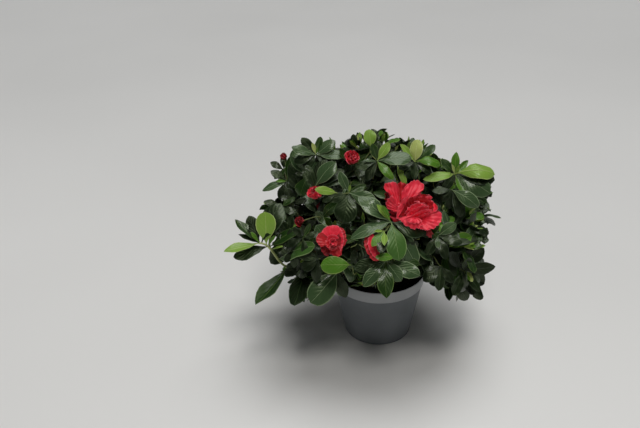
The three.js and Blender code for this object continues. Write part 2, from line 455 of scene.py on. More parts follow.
blooms = {
    "twinUpper": {"pixel": (401, 199), "size": 40, "facing": (-0.45, -0.7, 0.55), "petals": 26, "out": 8},
    "twinLower": {"pixel": (419, 212), "size": 44, "facing": (0.12, -0.86, 0.46), "petals": 30, "out": 16},
    "lowLeft": {"pixel": (331.5, 241), "size": 32, "facing": (-0.12, -0.9, 0.4), "petals": 30, "out": 8},
    "behindLeaves": {"pixel": (373, 246), "size": 28, "facing": (-0.6, -0.75, 0.2), "petals": 24, "out": 2},
    "leftHalfOpen": {"pixel": (313.5, 190), "size": 30.5, "facing": (-0.2, -0.55, 0.8),
                     "petals": 20, "out": 8},
    "topHalfOpen": {"pixel": (352.5, 154), "size": 30.5, "facing": (0.0, -0.5, 0.85),
                    "petals": 20, "out": 7},
    "farLeft": {"pixel": (298, 219), "size": 21, "facing": (-0.3, -0.6, 0.7), "petals": 12, "out": 3},
    "farUpperLeft": {"pixel": (282, 154), "size": 20, "facing": (-0.3, -0.4, 0.8), "petals": 12, "out": 1},
}
bloomShares = {"sunk": 0.2, "clear": 0.46, "open": 0.5, "behind": 0.1}  # of a bloom's size
# Leafy shoots that stand out in the photo: the pixel of the tip, how far out of the outline it is,
# and for each leaf its tip's pixel, how much nearer to the camera that is, its kind and its shape.
# The leaves of the long spray also have the pixel of their foot on its stalk.
seenShoots = {
    "frontRosette": {"pixel": (391, 222), "out": 14, "leaves": [
        ((351, 237), 8, "grey", "oval"), ((398, 260), 12, "leaf", "broad"),
        ((377, 205), 3, "young", "narrow"), ((358, 197), 0, "grey", "flat"),
        ((414, 246), -6, "deep", "flat"), ((366, 214), -4, "dark", "flat"),
        ((382, 206), 6, "fresh", "narrow"), ((425, 235), -4, "dark", "broad"),
        ((415, 266), -8, "grey", "flat")]},
    "overBloom": {"pixel": (384, 231), "out": 12, "leaves": [
        ((373, 246), 10, "fresh", "flat"), ((381, 252), 12, "dark", "flat"),
        ((375, 231), 6, "young", "narrow"), ((385, 245), 16, "young", "narrow")]},
    "lowFresh": {"pixel": (397, 256), "out": 6, "leaves": [
        ((376, 257), 8, "fresh", "oval")]},
    "overRim": {"pixel": (386, 261), "out": 0, "leaves": [
        ((420, 276), 5, "grey", "flat"), ((386, 297), 12, "mid", "flat"), ((364, 285), 6, "grey", "flat"),
        ((402, 281), 10, "grey", "broad"), ((354, 268), 1, "dark", "flat"),
        ((418, 265), -4, "mid", "flat")]},
    "lowBright": {"pixel": (351, 265), "out": 2, "leaves": [
        ((321, 265), 1, "fresh", "spoon"), ((367, 275), -2, "dark", "flat"),
        ((356, 250), 3, "deep", "flat"), ((342, 262), 0, "dark", "flat")]},
    "lowHanging": {"pixel": (338, 272), "out": 6, "leaves": [
        ((311, 303), 8, "grey", "spoon"), ((322, 276), -4, "dark", "flat"),
        ((345, 298), -4, "deep", "flat"), ((330, 294), -6, "deep", "flat")]},
    "budShoot": {"pixel": (349, 193), "out": 6, "leaves": [
        ((377, 204), 6, "grey", "broad"), ((343, 224), 8, "dark", "round"), ((329, 201), 2, "dark", "flat"),
        ((340, 173), 3, "grey", "flat"), ((366, 184), -4, "mid", "narrow"),
        ((351, 185), 4, "young", "narrow"), ((361, 217), 4, "deep", "flat")]},
    "acrossBloom": {"pixel": (337, 193), "out": 9, "leaves": [
        ((314, 189), 8, "young", "oval"), ((322, 201), 2, "dark", "flat")]},
    "blueGrey": {"pixel": (315, 187), "out": 3, "leaves": [
        ((335, 162), 5, "grey", "broad"), ((307, 165), 0, "dark", "oval"), ((303, 172), 0, "dark", "flat"),
        ((342, 180), 2, "dark", "flat"), ((344, 170), -3, "deep", "flat"),
        ((326, 160), -3, "deep", "broad")]},
    "leftTop": {"pixel": (316, 155), "out": 6, "leaves": [
        ((291, 148), 4, "grey", "flat"), ((335, 141), 2, "grey", "broad"), ((345, 156), 3, "grey", "flat"),
        ((312, 142), 4, "pale", "narrow"), ((302, 137), -2, "dark", "flat"),
        ((321, 136), -3, "mid", "flat"), ((326, 165), 2, "dark", "flat"), ((307, 166), 0, "dark", "flat"),
        ((317, 147), 5, "fresh", "narrow"), ((332, 163), -5, "deep", "flat"),
        ((318, 164), -7, "deep", "flat"), ((294, 161), -4, "dark", "broad"),
        ((303, 164), -6, "deep", "broad")]},
    "brightTop": {"pixel": (377, 161), "out": 6, "leaves": [
        ((390, 142), 3, "young", "flat"), ((394, 180), 7, "fresh", "oval"),
        ((379, 141), -2, "dark", "flat"), ((372, 143), 6, "mid", "flat"), ((357, 168), 1, "dark", "flat"),
        ((364, 160), 3, "grey", "narrow"), ((411, 158), 2, "grey", "broad"),
        ((371, 149), 5, "pale", "narrow"), ((366, 181), 1, "deep", "flat")]},
    "topYoung": {"pixel": (371, 148), "out": 4, "leaves": [
        ((369, 130), 0, "young", "round"), ((363, 141), -2, "dark", "flat"),
        ((378, 134), -2, "dark", "flat")]},
    "aboveTwin": {"pixel": (397, 165), "out": 2, "leaves": [
        ((405, 185), 5, "young", "oval"), ((399, 181), 0, "dark", "flat"), ((413, 178), 1, "dark", "flat"),
        ((387, 174), -3, "deep", "flat")]},
    "creamShoot": {"pixel": (415, 162), "out": 3, "leaves": [
        ((418, 140), 2, "pale", "spoon"), ((440, 165), 3, "fresh", "recurved"),
        ((401, 144), 0, "young", "narrow"), ((436, 146), -2, "mid", "flat"),
        ((432, 173), 4, "dark", "flat"), ((415, 180), 5, "dark", "flat"), ((398, 169), 2, "dark", "flat")]},
    "paleRosette": {"pixel": (455, 174), "out": 9, "leaves": [
        ((424, 180), 7, "young", "oval"), ((456, 153), 3, "fresh", "flat"),
        ((494, 175), 5, "young", "recurved"), ((494, 181), 3, "deep", "broad"),
        ((489, 194), 9, "grey", "broad"), ((464, 195), 9, "fresh", "narrow"),
        ((443, 192), 4, "dark", "flat"), ((441, 160), 0, "mid", "flat"), ((470, 160), 0, "fresh", "narrow"),
        ((452, 165), 8, "pale", "narrow"), ((460, 166), 8, "young", "narrow")]},
    "archedEdge": {"pixel": (452, 190), "out": 6, "leaves": [
        ((478, 207), 8, "grey", "arched"), ((448, 210), -4, "deep", "flat"),
        ((463, 218), 0, "deep", "flat"), ((432, 192), 2, "deep", "flat"),
        ((440, 203), -2, "deep", "flat")]},
    "lowRight": {"pixel": (441, 266), "out": 2, "leaves": [
        ((424, 283), 4, "deep", "broad"), ((440, 291), 4, "dark", "flat"), ((425, 271), 0, "deep", "flat"),
        ((454, 283), 2, "deep", "flat"), ((432, 280), -4, "deep", "broad")]},
    "besideTwin": {"pixel": (438, 236), "out": 4, "leaves": [
        ((455, 223), 4, "grey", "broad"), ((462, 244), 4, "dark", "flat"), ((446, 258), 5, "deep", "flat"),
        ((425, 254), 2, "dark", "flat"), ((436, 248), 6, "grey", "flat")]},
    "leftUpper": {"pixel": (287, 181), "out": 0, "leaves": [
        ((263, 190), 4, "grey", "oval"), ((299, 194), 5, "dark", "round"), ((270, 170), 0, "dark", "flat"),
        ((290, 157), 2, "mid", "narrow"), ((303, 168), 0, "deep", "flat"), ((279, 199), 3, "deep", "flat"),
        ((276, 181), 6, "fresh", "narrow")]},
    "leftShoulder": {"pixel": (308, 176), "out": -6, "leaves": [
        ((290, 156), 4, "grey", "narrow"), ((296, 171), 0, "deep", "flat"),
        ((299, 162), -3, "dark", "flat"), ((319, 157), 7, "grey", "oval"),
        ((300, 197), 4, "mid", "round")]},
    "leftShade": {"pixel": (301, 190), "out": -14, "leaves": [
        ((292, 162), 0, "dark", "broad"), ((301, 160), 0, "deep", "broad"), ((310, 163), 0, "dark", "flat"),
        ((290, 177), 0, "dark", "broad"), ((311, 176), 0, "deep", "flat")]},
    "leftDepth": {"pixel": (289, 233), "out": -18, "leaves": [
        ((279, 220), 0, "dark", "broad"), ((271, 233), 0, "deep", "broad"), ((292, 216), 0, "dark", "flat"),
        ((301, 237), 0, "deep", "flat"), ((280, 246), 0, "dark", "flat"),
        ((282, 258), -3, "deep", "broad")]},
    "leftBack": {"pixel": (284, 170), "out": -14, "leaves": [
        ((270, 162), 0, "dark", "flat"), ((296, 158), -3, "deep", "flat"), ((274, 179), 0, "dark", "flat"),
        ((294, 180), 0, "deep", "flat"), ((283, 154), -3, "dark", "flat"),
        ((288, 187), 0, "dark", "broad")]},
    "leftInner": {"pixel": (293, 204), "out": -14, "leaves": [
        ((281, 196), 0, "deep", "flat"), ((283, 210), 0, "deep", "broad"), ((296, 190), 0, "deep", "flat"),
        ((303, 214), 0, "deep", "flat"), ((291, 218), 0, "deep", "flat"), ((306, 200), 0, "deep", "broad"),
        ((287, 188), -2, "deep", "broad")]},
    "behindSpray": {"pixel": (297, 249), "out": -12, "leaves": [
        ((276, 251), 0, "deep", "flat"), ((279, 236), -3, "deep", "flat"), ((285, 262), 0, "deep", "flat"),
        ((293, 268), -2, "dark", "flat"), ((272, 243), -6, "dark", "flat"),
        ((289, 230), 0, "deep", "broad")]},
    "leftEdge": {"pixel": (274, 226), "out": -4, "leaves": [
        ((259, 232), -2, "deep", "flat"), ((262, 219), -3, "deep", "flat"),
        ((271, 240), -3, "deep", "broad"), ((284, 236), 0, "dark", "flat"),
        ((276, 212), 0, "dark", "flat")]},
    "leftMiddle": {"pixel": (281, 207), "out": -2, "leaves": [
        ((264, 201), 0, "deep", "flat"), ((262, 214), 0, "dark", "broad"), ((297, 214), 3, "dark", "flat"),
        ((292, 225), 1, "deep", "flat"), ((283, 224), 5, "grey", "flat"), ((294, 198), 0, "mid", "flat")]},
    "leftLow": {"pixel": (303, 238), "out": 0, "leaves": [
        ((285, 246), -2, "deep", "flat"), ((320, 233), 2, "dark", "flat"), ((306, 255), 0, "dark", "flat"),
        ((293, 227), 0, "deep", "flat"), ((311, 223), 3, "mid", "narrow")]},
    "lowLeftFill": {"pixel": (319, 259), "out": -2, "leaves": [
        ((297, 254), 0, "dark", "flat"), ((300, 270), -2, "deep", "broad"),
        ((315, 283), -3, "deep", "flat"), ((338, 256), -4, "deep", "flat"),
        ((304, 246), -2, "deep", "flat")]},
    "spray": {"pixel": (259, 243), "depth": -82, "axis": (-0.92, -0.1, 0.1), "leaves": [
        ((265, 212), 2, "young", "upright", (266, 246)), ((222, 252), 6, "young", "narrow", (258, 243)),
        ((233, 258), -4, "dark", "flat", (267, 248)), ((235, 219), -8, "mid", "narrow", (258, 243)),
        ((238, 234), -4, "dark", "narrow", (260, 243)), ((250, 232), 2, "fresh", "narrow", (260, 243)),
        ((281, 204), -12, "dark", "broad", (262, 240)), ((249, 216), -12, "deep", "flat", (260, 242)),
        ((301, 228), -2, "mid", "oval", (270, 247)), ((283, 247), 4, "young", "narrow", (271, 249)),
        ((276, 236), 3, "fresh", "narrow", (267, 246)), ((314, 245), 16, "leaf", "oval", (282, 257)),
        ((309, 238), -6, "deep", "flat", (279, 256)), ((256, 305), 2, "mid", "narrow", (287, 271)),
        ((295, 307), 3, "dark", "oval", (306, 274))]},
}
hiddenBlooms = {
    "count": 12,
    "seed": 4,
    "sizes": (16, 52),
    "petals": (14, 30),
    "spacing": 55,
    "behind": 40,  # how far past what the camera sees
    "lowest": -0.1,  # of the height of the outline's normal
    "nearest": -10,  # how far towards the camera they may be
    "sunk": 3,
    "sizePower": 0.8,
    "turns": (0.8, 0.5),
}


def drawsFor(label, what):  # random numbers of one shoot alone, so a change to one leaves the others alike
    return random.Random("%s of %s, %d" % (what, label, shootSet["seed"]))


def outlineHit(pixel):  # what a pixel shows of the crown, or the nearest point to what it sees
    ray = pixelRay(pixel)
    place, normal, index, _ = crownTree.ray_cast(eye, ray)
    if index is None:
        beside = min(crownPoints, key=lambda p: (p - eye).cross(ray).length)
        place, normal, index, _ = crownTree.find_nearest(beside)
    return place, normal, crownOwner[index]


def crossesOf(name):
    corners = massTriangles[name]
    return np.cross(corners[:, 1] - corners[:, 0], corners[:, 2] - corners[:, 0])


def samples(name, seed):  # points spread over a mass's outline, with their normals
    corners, crosses = massTriangles[name], crossesOf(name)
    areas = np.linalg.norm(crosses, axis=1)
    count = int(shootSet["tries"] * (areas.sum() / 2)) + shootSet["leastTries"]
    draw = np.random.RandomState(seed)
    picked = draw.choice(len(corners), count, p=areas / areas.sum())
    a, b = np.sqrt(draw.rand(count)), draw.rand(count)
    weights = np.stack([1 - a, a * (1 - b), a * b], 1)
    places = (corners[picked] * weights[:, :, None]).sum(1)
    return [(Vector(p), Vector(n).normalized()) for p, n in zip(places, crosses[picked])]


def isOpen(place, normal):  # no other part of the crown lies just ahead
    start = place + normal * shootSet["openFrom"] * mm
    return crownTree.ray_cast(start, normal, shootSet["clearAhead"] * mm)[0] is None


def shootAxis(place, normal, rise, draw):
    outward = (place - crownCentre).normalized()
    wander = Vector([draw.gauss(0, shootSet["wander"]) for _ in range(3)])
    byNormal, byOutward = shootSet["turns"]
    return (normal * byNormal + outward * byOutward + up * rise + wander).normalized()


# Stretches of the image where no other leaf may come in front: from one pixel to another, with the
# width on each side in pixels, and the distance in metres up to which they stay open
openStretches = [
    ((352, 298), (418, 293), 7, 0.905), ((404, 283), (420, 280), 5, 0.93),
    ((364, 326), (398, 324), 26, 0.92), ((240, 282), (262, 284), 16, 0.95),
    ((230, 225), (240, 262), 12, 1.05), ((290, 315), (334, 313), 5, 2.0), ((331, 301), (342, 301), 4, 2.0),
    ((386, 112), (396, 112), 6, 2.0), ((488, 256), (492, 256), 2, 2.0),
]
# Stretches where the photo looks past the outer leaves into the crown's dark inside
shadeGaps = [((294, 207), (331, 208), 4), ((441, 192), (447, 212), 4), ((357, 241), (355, 260), 3)]
openSet = {"gapDepth": 16.0, "slack": 2.0, "margin": 4, "steps": 5, "leafFrom": 0.25, "narrow": 6,
           "wide": 9}
for start, end, radius in shadeGaps:
    depth = toPixel(outlineHit(((start[0] + end[0]) / 2, (start[1] + end[1]) / 2))[0])[2]
    openStretches.append((start, end, radius, depth + openSet["gapDepth"] * mm))


def guardLeaf(base, tip, shape):  # keeps other leaves from covering one that shows in the photo
    a, b = toPixel(base.lerp(tip, openSet["leafFrom"])), toPixel(tip)
    width = openSet["narrow" if shape == "narrow" else "wide"]
    openStretches.append((a[:2], b[:2], width, (a[2] + b[2]) / 2))


def covers(base, tip):  # whether a leaf would come in front of an open stretch
    for step in range(1, openSet["steps"] + 1):
        x, y, depth = toPixel(base.lerp(tip, step / openSet["steps"]))
        for (x0, y0), (x1, y1), radius, far in openStretches:
            if depth > far - openSet["slack"] * mm:
                continue
            dx, dy = x1 - x0, y1 - y0
            t = max(0, min(1, ((x - x0) * dx + (y - y0) * dy) / (dx * dx + dy * dy + 1e-9)))
            if math.hypot(x - x0 - t * dx, y - y0 - t * dy) < radius + openSet["margin"]:
                return True
    return False


# The room that leaves and twigs leave to the pot
potSpace = {
    "radius": 62.5,
    "height": 94.5,
    "innerRadius": 54,
    "soil": 86,
    "ground": 2,
    "rimReach": (51, 63.5),  # where twigs pass over the rim
    "overRim": 96.5,
    "overPeat": 88,
}


def clearOfPot(place):  # lifts a place over the rim or the peat where it would be inside them
    reach = math.hypot(place.x, place.y) / mm
    inner, outer = potSpace["rimReach"]
    least = potSpace["overPeat"] if reach <= inner else potSpace["overRim"] if reach < outer else 0
    return Vector((place.x, place.y, max(place.z, least * mm)))


def farFrom(place, others, gap):
    return all((place - other).length > gap * mm for other in others)


shoots = []


def addShoot(label, place, axis, mass, age, clear, **more):
    shoots.append({"label": label, "place": place, "axis": axis, "mass": mass, "age": age,
                   "clear": clear, **more})


def roomAt(place, clear):
    return all((place - s["place"]).length > max(clear, s["clear"]) * mm for s in shoots)


def addSeenBloom(label, bloom):
    hit, _, mass = outlineHit(bloom["pixel"])
    place = atDepth(bloom["pixel"], toPixel(hit)[2] - bloom["out"] * mm)
    axis = Vector(bloom["facing"]).normalized()
    addShoot(label, place - axis * bloom["size"] * bloomShares["sunk"] * mm, axis, mass, "old",
             bloom["size"] * bloomShares["clear"], bloom=bloom, seen=True)
    x, y, depth = toPixel(shoots[-1]["place"])
    size = bloom["size"] * mm
    radius = focal * size / depth * bloomShares["open"]
    openStretches.append(((x, y), (x, y), radius, depth + size * bloomShares["behind"]))


def addSeenShoot(label, seen):
    if "axis" in seen:
        place, mass = onPlane(seen["pixel"], seen["depth"] * mm), "foliage_left_spray"
        axis = Vector(seen["axis"])
    else:
        place, normal, mass = outlineHit(seen["pixel"])
        place = atDepth(seen["pixel"], toPixel(place)[2] + (shootSet["sink"][0] - seen["out"]) * mm)
        byCamera, bySky, byNormal = shootSet["seenTurns"]
        axis = (eye - place).normalized() * byCamera + up * bySky + normal * byNormal
    depth = toPixel(place)[2]
    tips = [atDepth(leaf[0], depth - leaf[1] * mm) for leaf in seen["leaves"]]
    addShoot(label, place, axis.normalized(), mass, "old", shootSet["seenClear"], seen=True,
             tips=tips, leaves=seen["leaves"])
    for tip, (_, _, _, shape, *foot) in zip(tips, seen["leaves"]):
        guardLeaf(onPlane(foot[0], place.y) if foot else place, tip, shape)


def addHiddenBlooms():  # on the sides and the back, where the camera doesn't see them
    draw, places = random.Random(hiddenBlooms["seed"]), []
    for name, place, normal in pool:
        sight = place - eye
        first = crownTree.ray_cast(eye, sight.normalized())[3] or sight.length
        inView = sight.length - first < hiddenBlooms["behind"] * mm
        inView = inView or place.y < hiddenBlooms["nearest"] * mm
        isApart = farFrom(place, places, hiddenBlooms["spacing"])
        if inView or normal.z < hiddenBlooms["lowest"] or not isApart:
            continue
        places.append(place)
        size = lerp(*hiddenBlooms["sizes"], draw.random() ** hiddenBlooms["sizePower"])
        byNormal, bySky = hiddenBlooms["turns"]
        axis = (normal * byNormal + up * bySky).normalized()
        petalCount = round(lerp(*hiddenBlooms["petals"], size / hiddenBlooms["sizes"][1]))
        addShoot("hidden %d" % len(places), place - axis * hiddenBlooms["sunk"] * mm, axis, name, "old",
                 size * bloomShares["clear"], bloom={"size": size, "petals": petalCount})
        if len(places) == hiddenBlooms["count"]:
            break


def addOuterShoots():
    for i, (name, place, normal) in enumerate(pool):
        draw = drawsFor("outer %d" % i, "place")
        clear = shootSet["undersideSpacing" if normal.z < shootSet["underside"] else "spacing"]
        clear *= draw.uniform(*shootSet["uneven"])
        age = "young" if draw.random() < shootSet["youngShare"] else "old"
        sunk = clearOfPot(place - normal * draw.uniform(*shootSet["sink"]) * mm)
        if "spray" in name or covers(sunk, sunk) or not roomAt(sunk, clear):
            continue
        rise = shootSet["rise"]["low" if "low" in name else "outer"]
        addShoot("outer %d" % i, sunk, shootAxis(place, normal, rise, draw), name, age, 0)


def addInnerShoots():
    outerPlaces, innerPlaces = [s["place"] for s in shoots], []
    for i, (name, place, normal) in enumerate(pool):
        draw = drawsFor("inner %d" % i, "place")
        inner = clearOfPot(massCentre[name].lerp(place, draw.uniform(*shootSet["innerShare"])))
        isApart = farFrom(inner, innerPlaces, shootSet["innerSpacing"])
        if "spray" in name or not isApart or covers(inner, inner):
            continue
        if farFrom(inner, outerPlaces, shootSet["innerClear"]):
            innerPlaces.append(inner)
            axis = shootAxis(inner, normal, shootSet["rise"]["inner"], draw)
            addShoot("inner %d" % i, inner, axis, name, "inner", 0)


for label, bloom in blooms.items():
    addSeenBloom(label, bloom)
for label, seen in seenShoots.items():
    addSeenShoot(label, seen)
pool = [(name, *spot) for i, name in enumerate(massNames) for spot in samples(name, i) if isOpen(*spot)]
random.Random(shootSet["seed"]).shuffle(pool)
addHiddenBlooms()
addOuterShoots()
outerCount = len(shoots)
addInnerShoots()
print("shoots", outerCount, "outer,", len(shoots) - outerCount, "inner")


# Branching: inside each mass every shoot joins the nearest twig, where long ways round cost extra.
branchSet = {
    "detour": 0.35,
    "straightEnd": 16.0,  # the last stretch of a twig runs along its shoot's axis
    "endMost": 0.4,  # of the way from the fork
    "leaveShare": 0.35,
    "step": 6.0,
    "boughStep": 5.0,
    "boughPath": 4.0,
    "tipRadius": 0.62,
    "pipe": 2.5,  # the exponent with which radii add up at a fork
    "forkSwell": 1.25,
    "youngLength": 26.0,
    "stalkRadius": 1.15,  # the long spray's stalk, green all along
}
twigs = []  # each a line of points with a radius at each, from its fork to its tip
stalks = []


def bezier(a, b, c, d):
    length = (b - a).length + (c - b).length + (d - c).length
    count = max(3, round(length / (branchSet["step"] * mm)))
    return [a * (1 - t) ** 3 + b * 3 * t * (1 - t) ** 2 + c * 3 * t**2 * (1 - t) + d * t**3
            for t in (i / count for i in range(count + 1))]


def twigPoint(place, way, path, origin):
    return {"place": place, "way": way, "path": path, "from": origin, "load": 0}


def growMass(name):
    line = smoothLine(boughLines[name], branchSet["boughStep"] * mm)
    onward = (line[-1] - line[-2]).normalized()
    grown = [twigPoint(p, onward, i * branchSet["boughPath"] * mm, i - 1) for i, p in enumerate(line[-3:])]
    branches = []
    mine = [s for s in shoots if s["mass"] == "foliage_" + name]
    for shoot in sorted(mine, key=lambda s: (s["place"] - line[-1]).length):
        goal = shoot["place"]
        costs = [(n["place"] - goal).length + branchSet["detour"] * n["path"] for n in grown]
        chain = [costs.index(min(costs))]
        fork = grown[chain[0]]["place"]
        reach = (goal - fork).length
        leave = (grown[chain[0]]["way"] + (goal - fork).normalized()).normalized()
        end = min(branchSet["straightEnd"] * mm, reach * branchSet["endMost"])
        leave = fork + leave * reach * branchSet["leaveShare"]
        curve = bezier(fork, leave, goal - shoot["axis"] * end, goal)
        curve = [curve[0], *(clearOfPot(point) for point in curve[1:])]
        for before, point in zip(curve, curve[1:]):
            path = grown[chain[-1]]["path"] + (point - before).length
            grown.append(twigPoint(point, (point - before).normalized(), path, chain[-1]))
            chain.append(len(grown) - 1)
        branches.append(chain)
        shoot["chain"] = [grown[k]["place"] for k in chain]
    for chain in branches:  # each shoot loads every point between it and the bough
        k = chain[-1]
        while k >= 0:
            grown[k]["load"] += 1
            k = grown[k]["from"]
    isSpray = name == "left_spray"
    tip, most = branchSet["stalkRadius" if isSpray else "tipRadius"], limbSet["boughRadius"][1]
    for point in grown:
        point["radius"] = min(tip * max(point["load"], 1) ** (1 / branchSet["pipe"]), most) * mm
    for chain in branches:
        radii = [grown[k]["radius"] for k in chain]
        radii[0] = min(radii[0], radii[1] * branchSet["forkSwell"])
        (stalks if isSpray else twigs).append(([grown[k]["place"] for k in chain], radii))


for name in boughLines:
    growMass(name)
print("twigs", len(twigs))


# Wood: GN tubes along the lines, with the bark's relief
def tubeTree():
    tree, given = newNodeTree("tubes", {"Sides": "Int", "Relief": "Float", "Grain": "Float"})
    curve = addNode(tree, "GeometryNodeMeshToCurve", Mesh=given["Geometry"])
    profile = addNode(tree, "GeometryNodeCurvePrimitiveCircle", Resolution=given["Sides"], Radius=1)
    tube = addNode(tree, "GeometryNodeCurveToMesh", Curve=curve, Profile_Curve=profile, Fill_Caps=True,
                   Scale=attributeIn(tree, "radius", "FLOAT"))
    grain = addNode(tree, "ShaderNodeTexNoise", "Fac", Scale=given["Grain"], Detail=3)
    amount = mathNode(tree, "MULTIPLY", mathNode(tree, "SUBTRACT", grain, 0.5), given["Relief"])
    offset = scaled(tree, addNode(tree, "GeometryNodeInputNormal"), amount)
    moved = addNode(tree, "GeometryNodeSetPosition", Geometry=tube, Offset=offset)
    return endTree(tree, given, addNode(tree, "GeometryNodeSetShadeSmooth", Geometry=moved))


tubes = tubeTree()
barkSet = {"Sides": 18, "Relief": 0.9 * mm, "Grain": 420.0}
twigTubes = {"Sides": 7, "Relief": 0.25 * mm, "Grain": 300.0}
youngTubes = {"Sides": 6, "Relief": 0.1 * mm, "Grain": 200.0}


def tubePiece(name, lines, settings, material):
    points, edges, radii = [], [], []
    for line, radius in lines:
        edges += [(i, i + 1) for i in range(len(points), len(points) + len(line) - 1)]
        points += line
        radii += radius
    made = linkMesh(name, points, edges=edges)
    setAttribute(made, "radius", "FLOAT", radii)
    return growWith(made, tubes, {**settings, "Material": material})


def barkMaterial(name, light, dark, roughness, green=None):  # green: the bark of a limb's young far end
    material, tree, shader = newMaterial(name, Roughness=roughness)
    colour = ramp(tree, noiseOn(tree, 160, 5), (0.32, dark), (0.68, light))
    if green:
        start, end = limbSet["greenFrom"]
        colour = blendAlong(tree, "X", -start, -end, colour, (*srgb(*green), 1))
    tree.links.new(colour, shader["Base Color"])
    bumpInto(tree, shader, noiseOn(tree, 900, 4), 0.7, 0.5)
    return material


def stemRadius(height):
    share = min(1, max(0, (height - stemLow.z) / (stemHigh.z - stemLow.z)))
    flare = max(0, 1 - share / limbSet["flareShare"]) ** 2
    return (lerp(*limbSet["stemRadius"], share) + limbSet["flare"] * flare) * mm


def youngFrom(points):  # the point at which a twig turns young and green
    run, split = 0.0, len(points) - 1
    while split > 0 and run < branchSet["youngLength"] * mm:
        run += (points[split] - points[split - 1]).length
        split -= 1
    return split


bark = barkMaterial("bark", (136, 112, 84), (74, 58, 44), 0.85, (172, 176, 116))
twigBark = barkMaterial("twigBark", (132, 122, 84), (84, 76, 48), 0.8)
greenBark = barkMaterial("greenBark", (116, 126, 70), (80, 92, 44), 0.65)
stalkBark = barkMaterial("stalkBark", (184, 190, 128), (150, 160, 94), 0.6)

stemFoot = stemMiddles[0] - up * limbSet["intoPeat"] * mm
stemLine = smoothLine([stemFoot, *stemMiddles[1:]], limbSet["stemStep"] * mm)
limbs = [(stemLine, [stemRadius(point.z) for point in stemLine])]
for name, middles in boughLines.items():
    line = smoothLine(middles, limbSet["boughStep"] * mm)
    ends = limbSet["sprayRadius" if name == "left_spray" else "boughRadius"]
    limbs.append((line, [lerp(*ends, i / (len(line) - 1)) * mm for i in range(len(line))]))
oldLines, youngLines = [], []
for points, radii in twigs:
    split = youngFrom(points)
    if split:
        oldLines.append((points[:split + 1], radii[:split + 1]))
    youngLines.append((points[split:], radii[split:]))
wood = tubePiece("stem_and_boughs", limbs, barkSet, bark)
oldTwigs = tubePiece("twigs", oldLines, twigTubes, twigBark)
youngTwigs = tubePiece("young_twigs", youngLines, youngTubes, greenBark)
stalk = tubePiece("spray_stalk", stalks, youngTubes, stalkBark)
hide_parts("stem", *("bough_" + name for name in boughLines))
finishPieces("bark", wood, oldTwigs, youngTwigs, stalk)
print("wood", sum(len(p.data.polygons) for p in (wood, oldTwigs, youngTwigs)), "faces")


# Leaf shapes, one unit long along X, with the upper side up. Widths are shares of the length.
leafFields = ("width", "widest", "full", "fold", "curl", "rise", "droop", "twist", "wave", "often")
leafShapes = {
    "arched": (0.43, 0.58, 1.8, 18, 0.36, 22, 72, 8, 0.02, 5),
    "broad": (0.53, 0.57, 1.7, 14, 0.32, 12, 34, 5, 0.02, 4),
    "cupped": (0.42, 0.60, 1.9, 24, -0.08, -6, -22, -6, 0.02, 3),
    "flat": (0.42, 0.57, 1.9, 16, 0.26, 8, 20, -7, 0.03, 6),
    "narrow": (0.30, 0.56, 1.9, 28, 0.12, -3, -12, 4, 0.015, 1),
    "oval": (0.33, 0.52, 1.2, 13, 0.3, 10, 30, 6, 0.02, 4),
    "recurved": (0.40, 0.60, 1.8, 12, 0.42, 34, 108, -9, 0.03, 3),
    "round": (0.70, 0.56, 1.4, 12, 0.26, 14, 36, 5, 0.03, 1),
    "spoon": (0.58, 0.56, 1.25, 10, 0.28, 12, 34, -6, 0.03, 2),
    "upright": (0.60, 0.62, 1.75, 32, 0.2, 4, 16, 0, 0.02, 0),
    "wavy": (0.44, 0.58, 1.8, 20, 0.22, 12, 42, 20, 0.06, 4),
}
leafShapes = {name: dict(zip(leafFields, values)) for name, values in leafShapes.items()}
shapeNames = sorted(leafShapes)
leafRows = [0, 0.08, 0.16, 0.27, 0.39, 0.52, 0.65, 0.77, 0.87, 0.94, 1.0]
leafColumns = [-1, -0.5, 0, 0.5, 1]
leafDetail = {
    "petiole": 0.1,
    "petioleWidth": 0.017,
    "ripples": 13,
    "offBeat": 2,  # how far the ripples of one side lag behind the other's
    "rippleFrom": 8,  # how fast the ripples grow with the width
    "rib": 0.012,
    "ribTop": 0.005,
    "ribBelow": 0.014,
    "marginIn": 0.94,
    "marginLift": 0.003,
    "margin": 0.004,
    "paleMargin": 0.009,
    "paleMargined": ("arched", "flat", "spoon"),
}


def bladePoint(shape, t, s):
    rise, droop = math.radians(shape["rise"]), math.radians(shape["droop"])
    angle = rise - droop * t
    along = (math.sin(rise) - math.sin(angle)) / droop
    height = (math.cos(angle) - math.cos(rise)) / droop
    half, petiole = leafDetail["petioleWidth"], leafDetail["petiole"]
    if t > petiole:
        q, m, k = (t - petiole) / (1 - petiole), shape["widest"], shape["full"]
        blade = shape["width"] / 2 * (q / m) ** (m * k) * ((1 - q) / (1 - m)) ** ((1 - m) * k)
        half = max(half * (1 - q), blade)
    roll = math.radians(shape["twist"]) * t
    lift = half * (math.tan(math.radians(shape["fold"])) * abs(s) - shape["curl"] * s * s)
    beat = math.sin(t * leafDetail["ripples"] + (leafDetail["offBeat"] if s > 0 else 0))
    lift += shape["wave"] * beat * s * s * min(1, half * leafDetail["rippleFrom"])
    y = half * s * math.cos(roll) - lift * math.sin(roll)
    z = half * s * math.sin(roll) + lift * math.cos(roll)
    return Vector((along - math.sin(angle) * z, y, height + math.cos(angle) * z))


def newCollection(name):
    return bpy.data.collections.new(name)


def shapeObject(name, points, faces, collection, along=None, maps=None):  # a shape to be scattered
    made = linkMesh(name, points, faces)
    setAttribute(made, "along", "FLOAT", along or [0] * len(points))
    mapPoints(made, maps or [(0, 0)] * len(points))
    smoothFaces(made)
    scene.collection.objects.unlink(made)
    collection.objects.link(made)


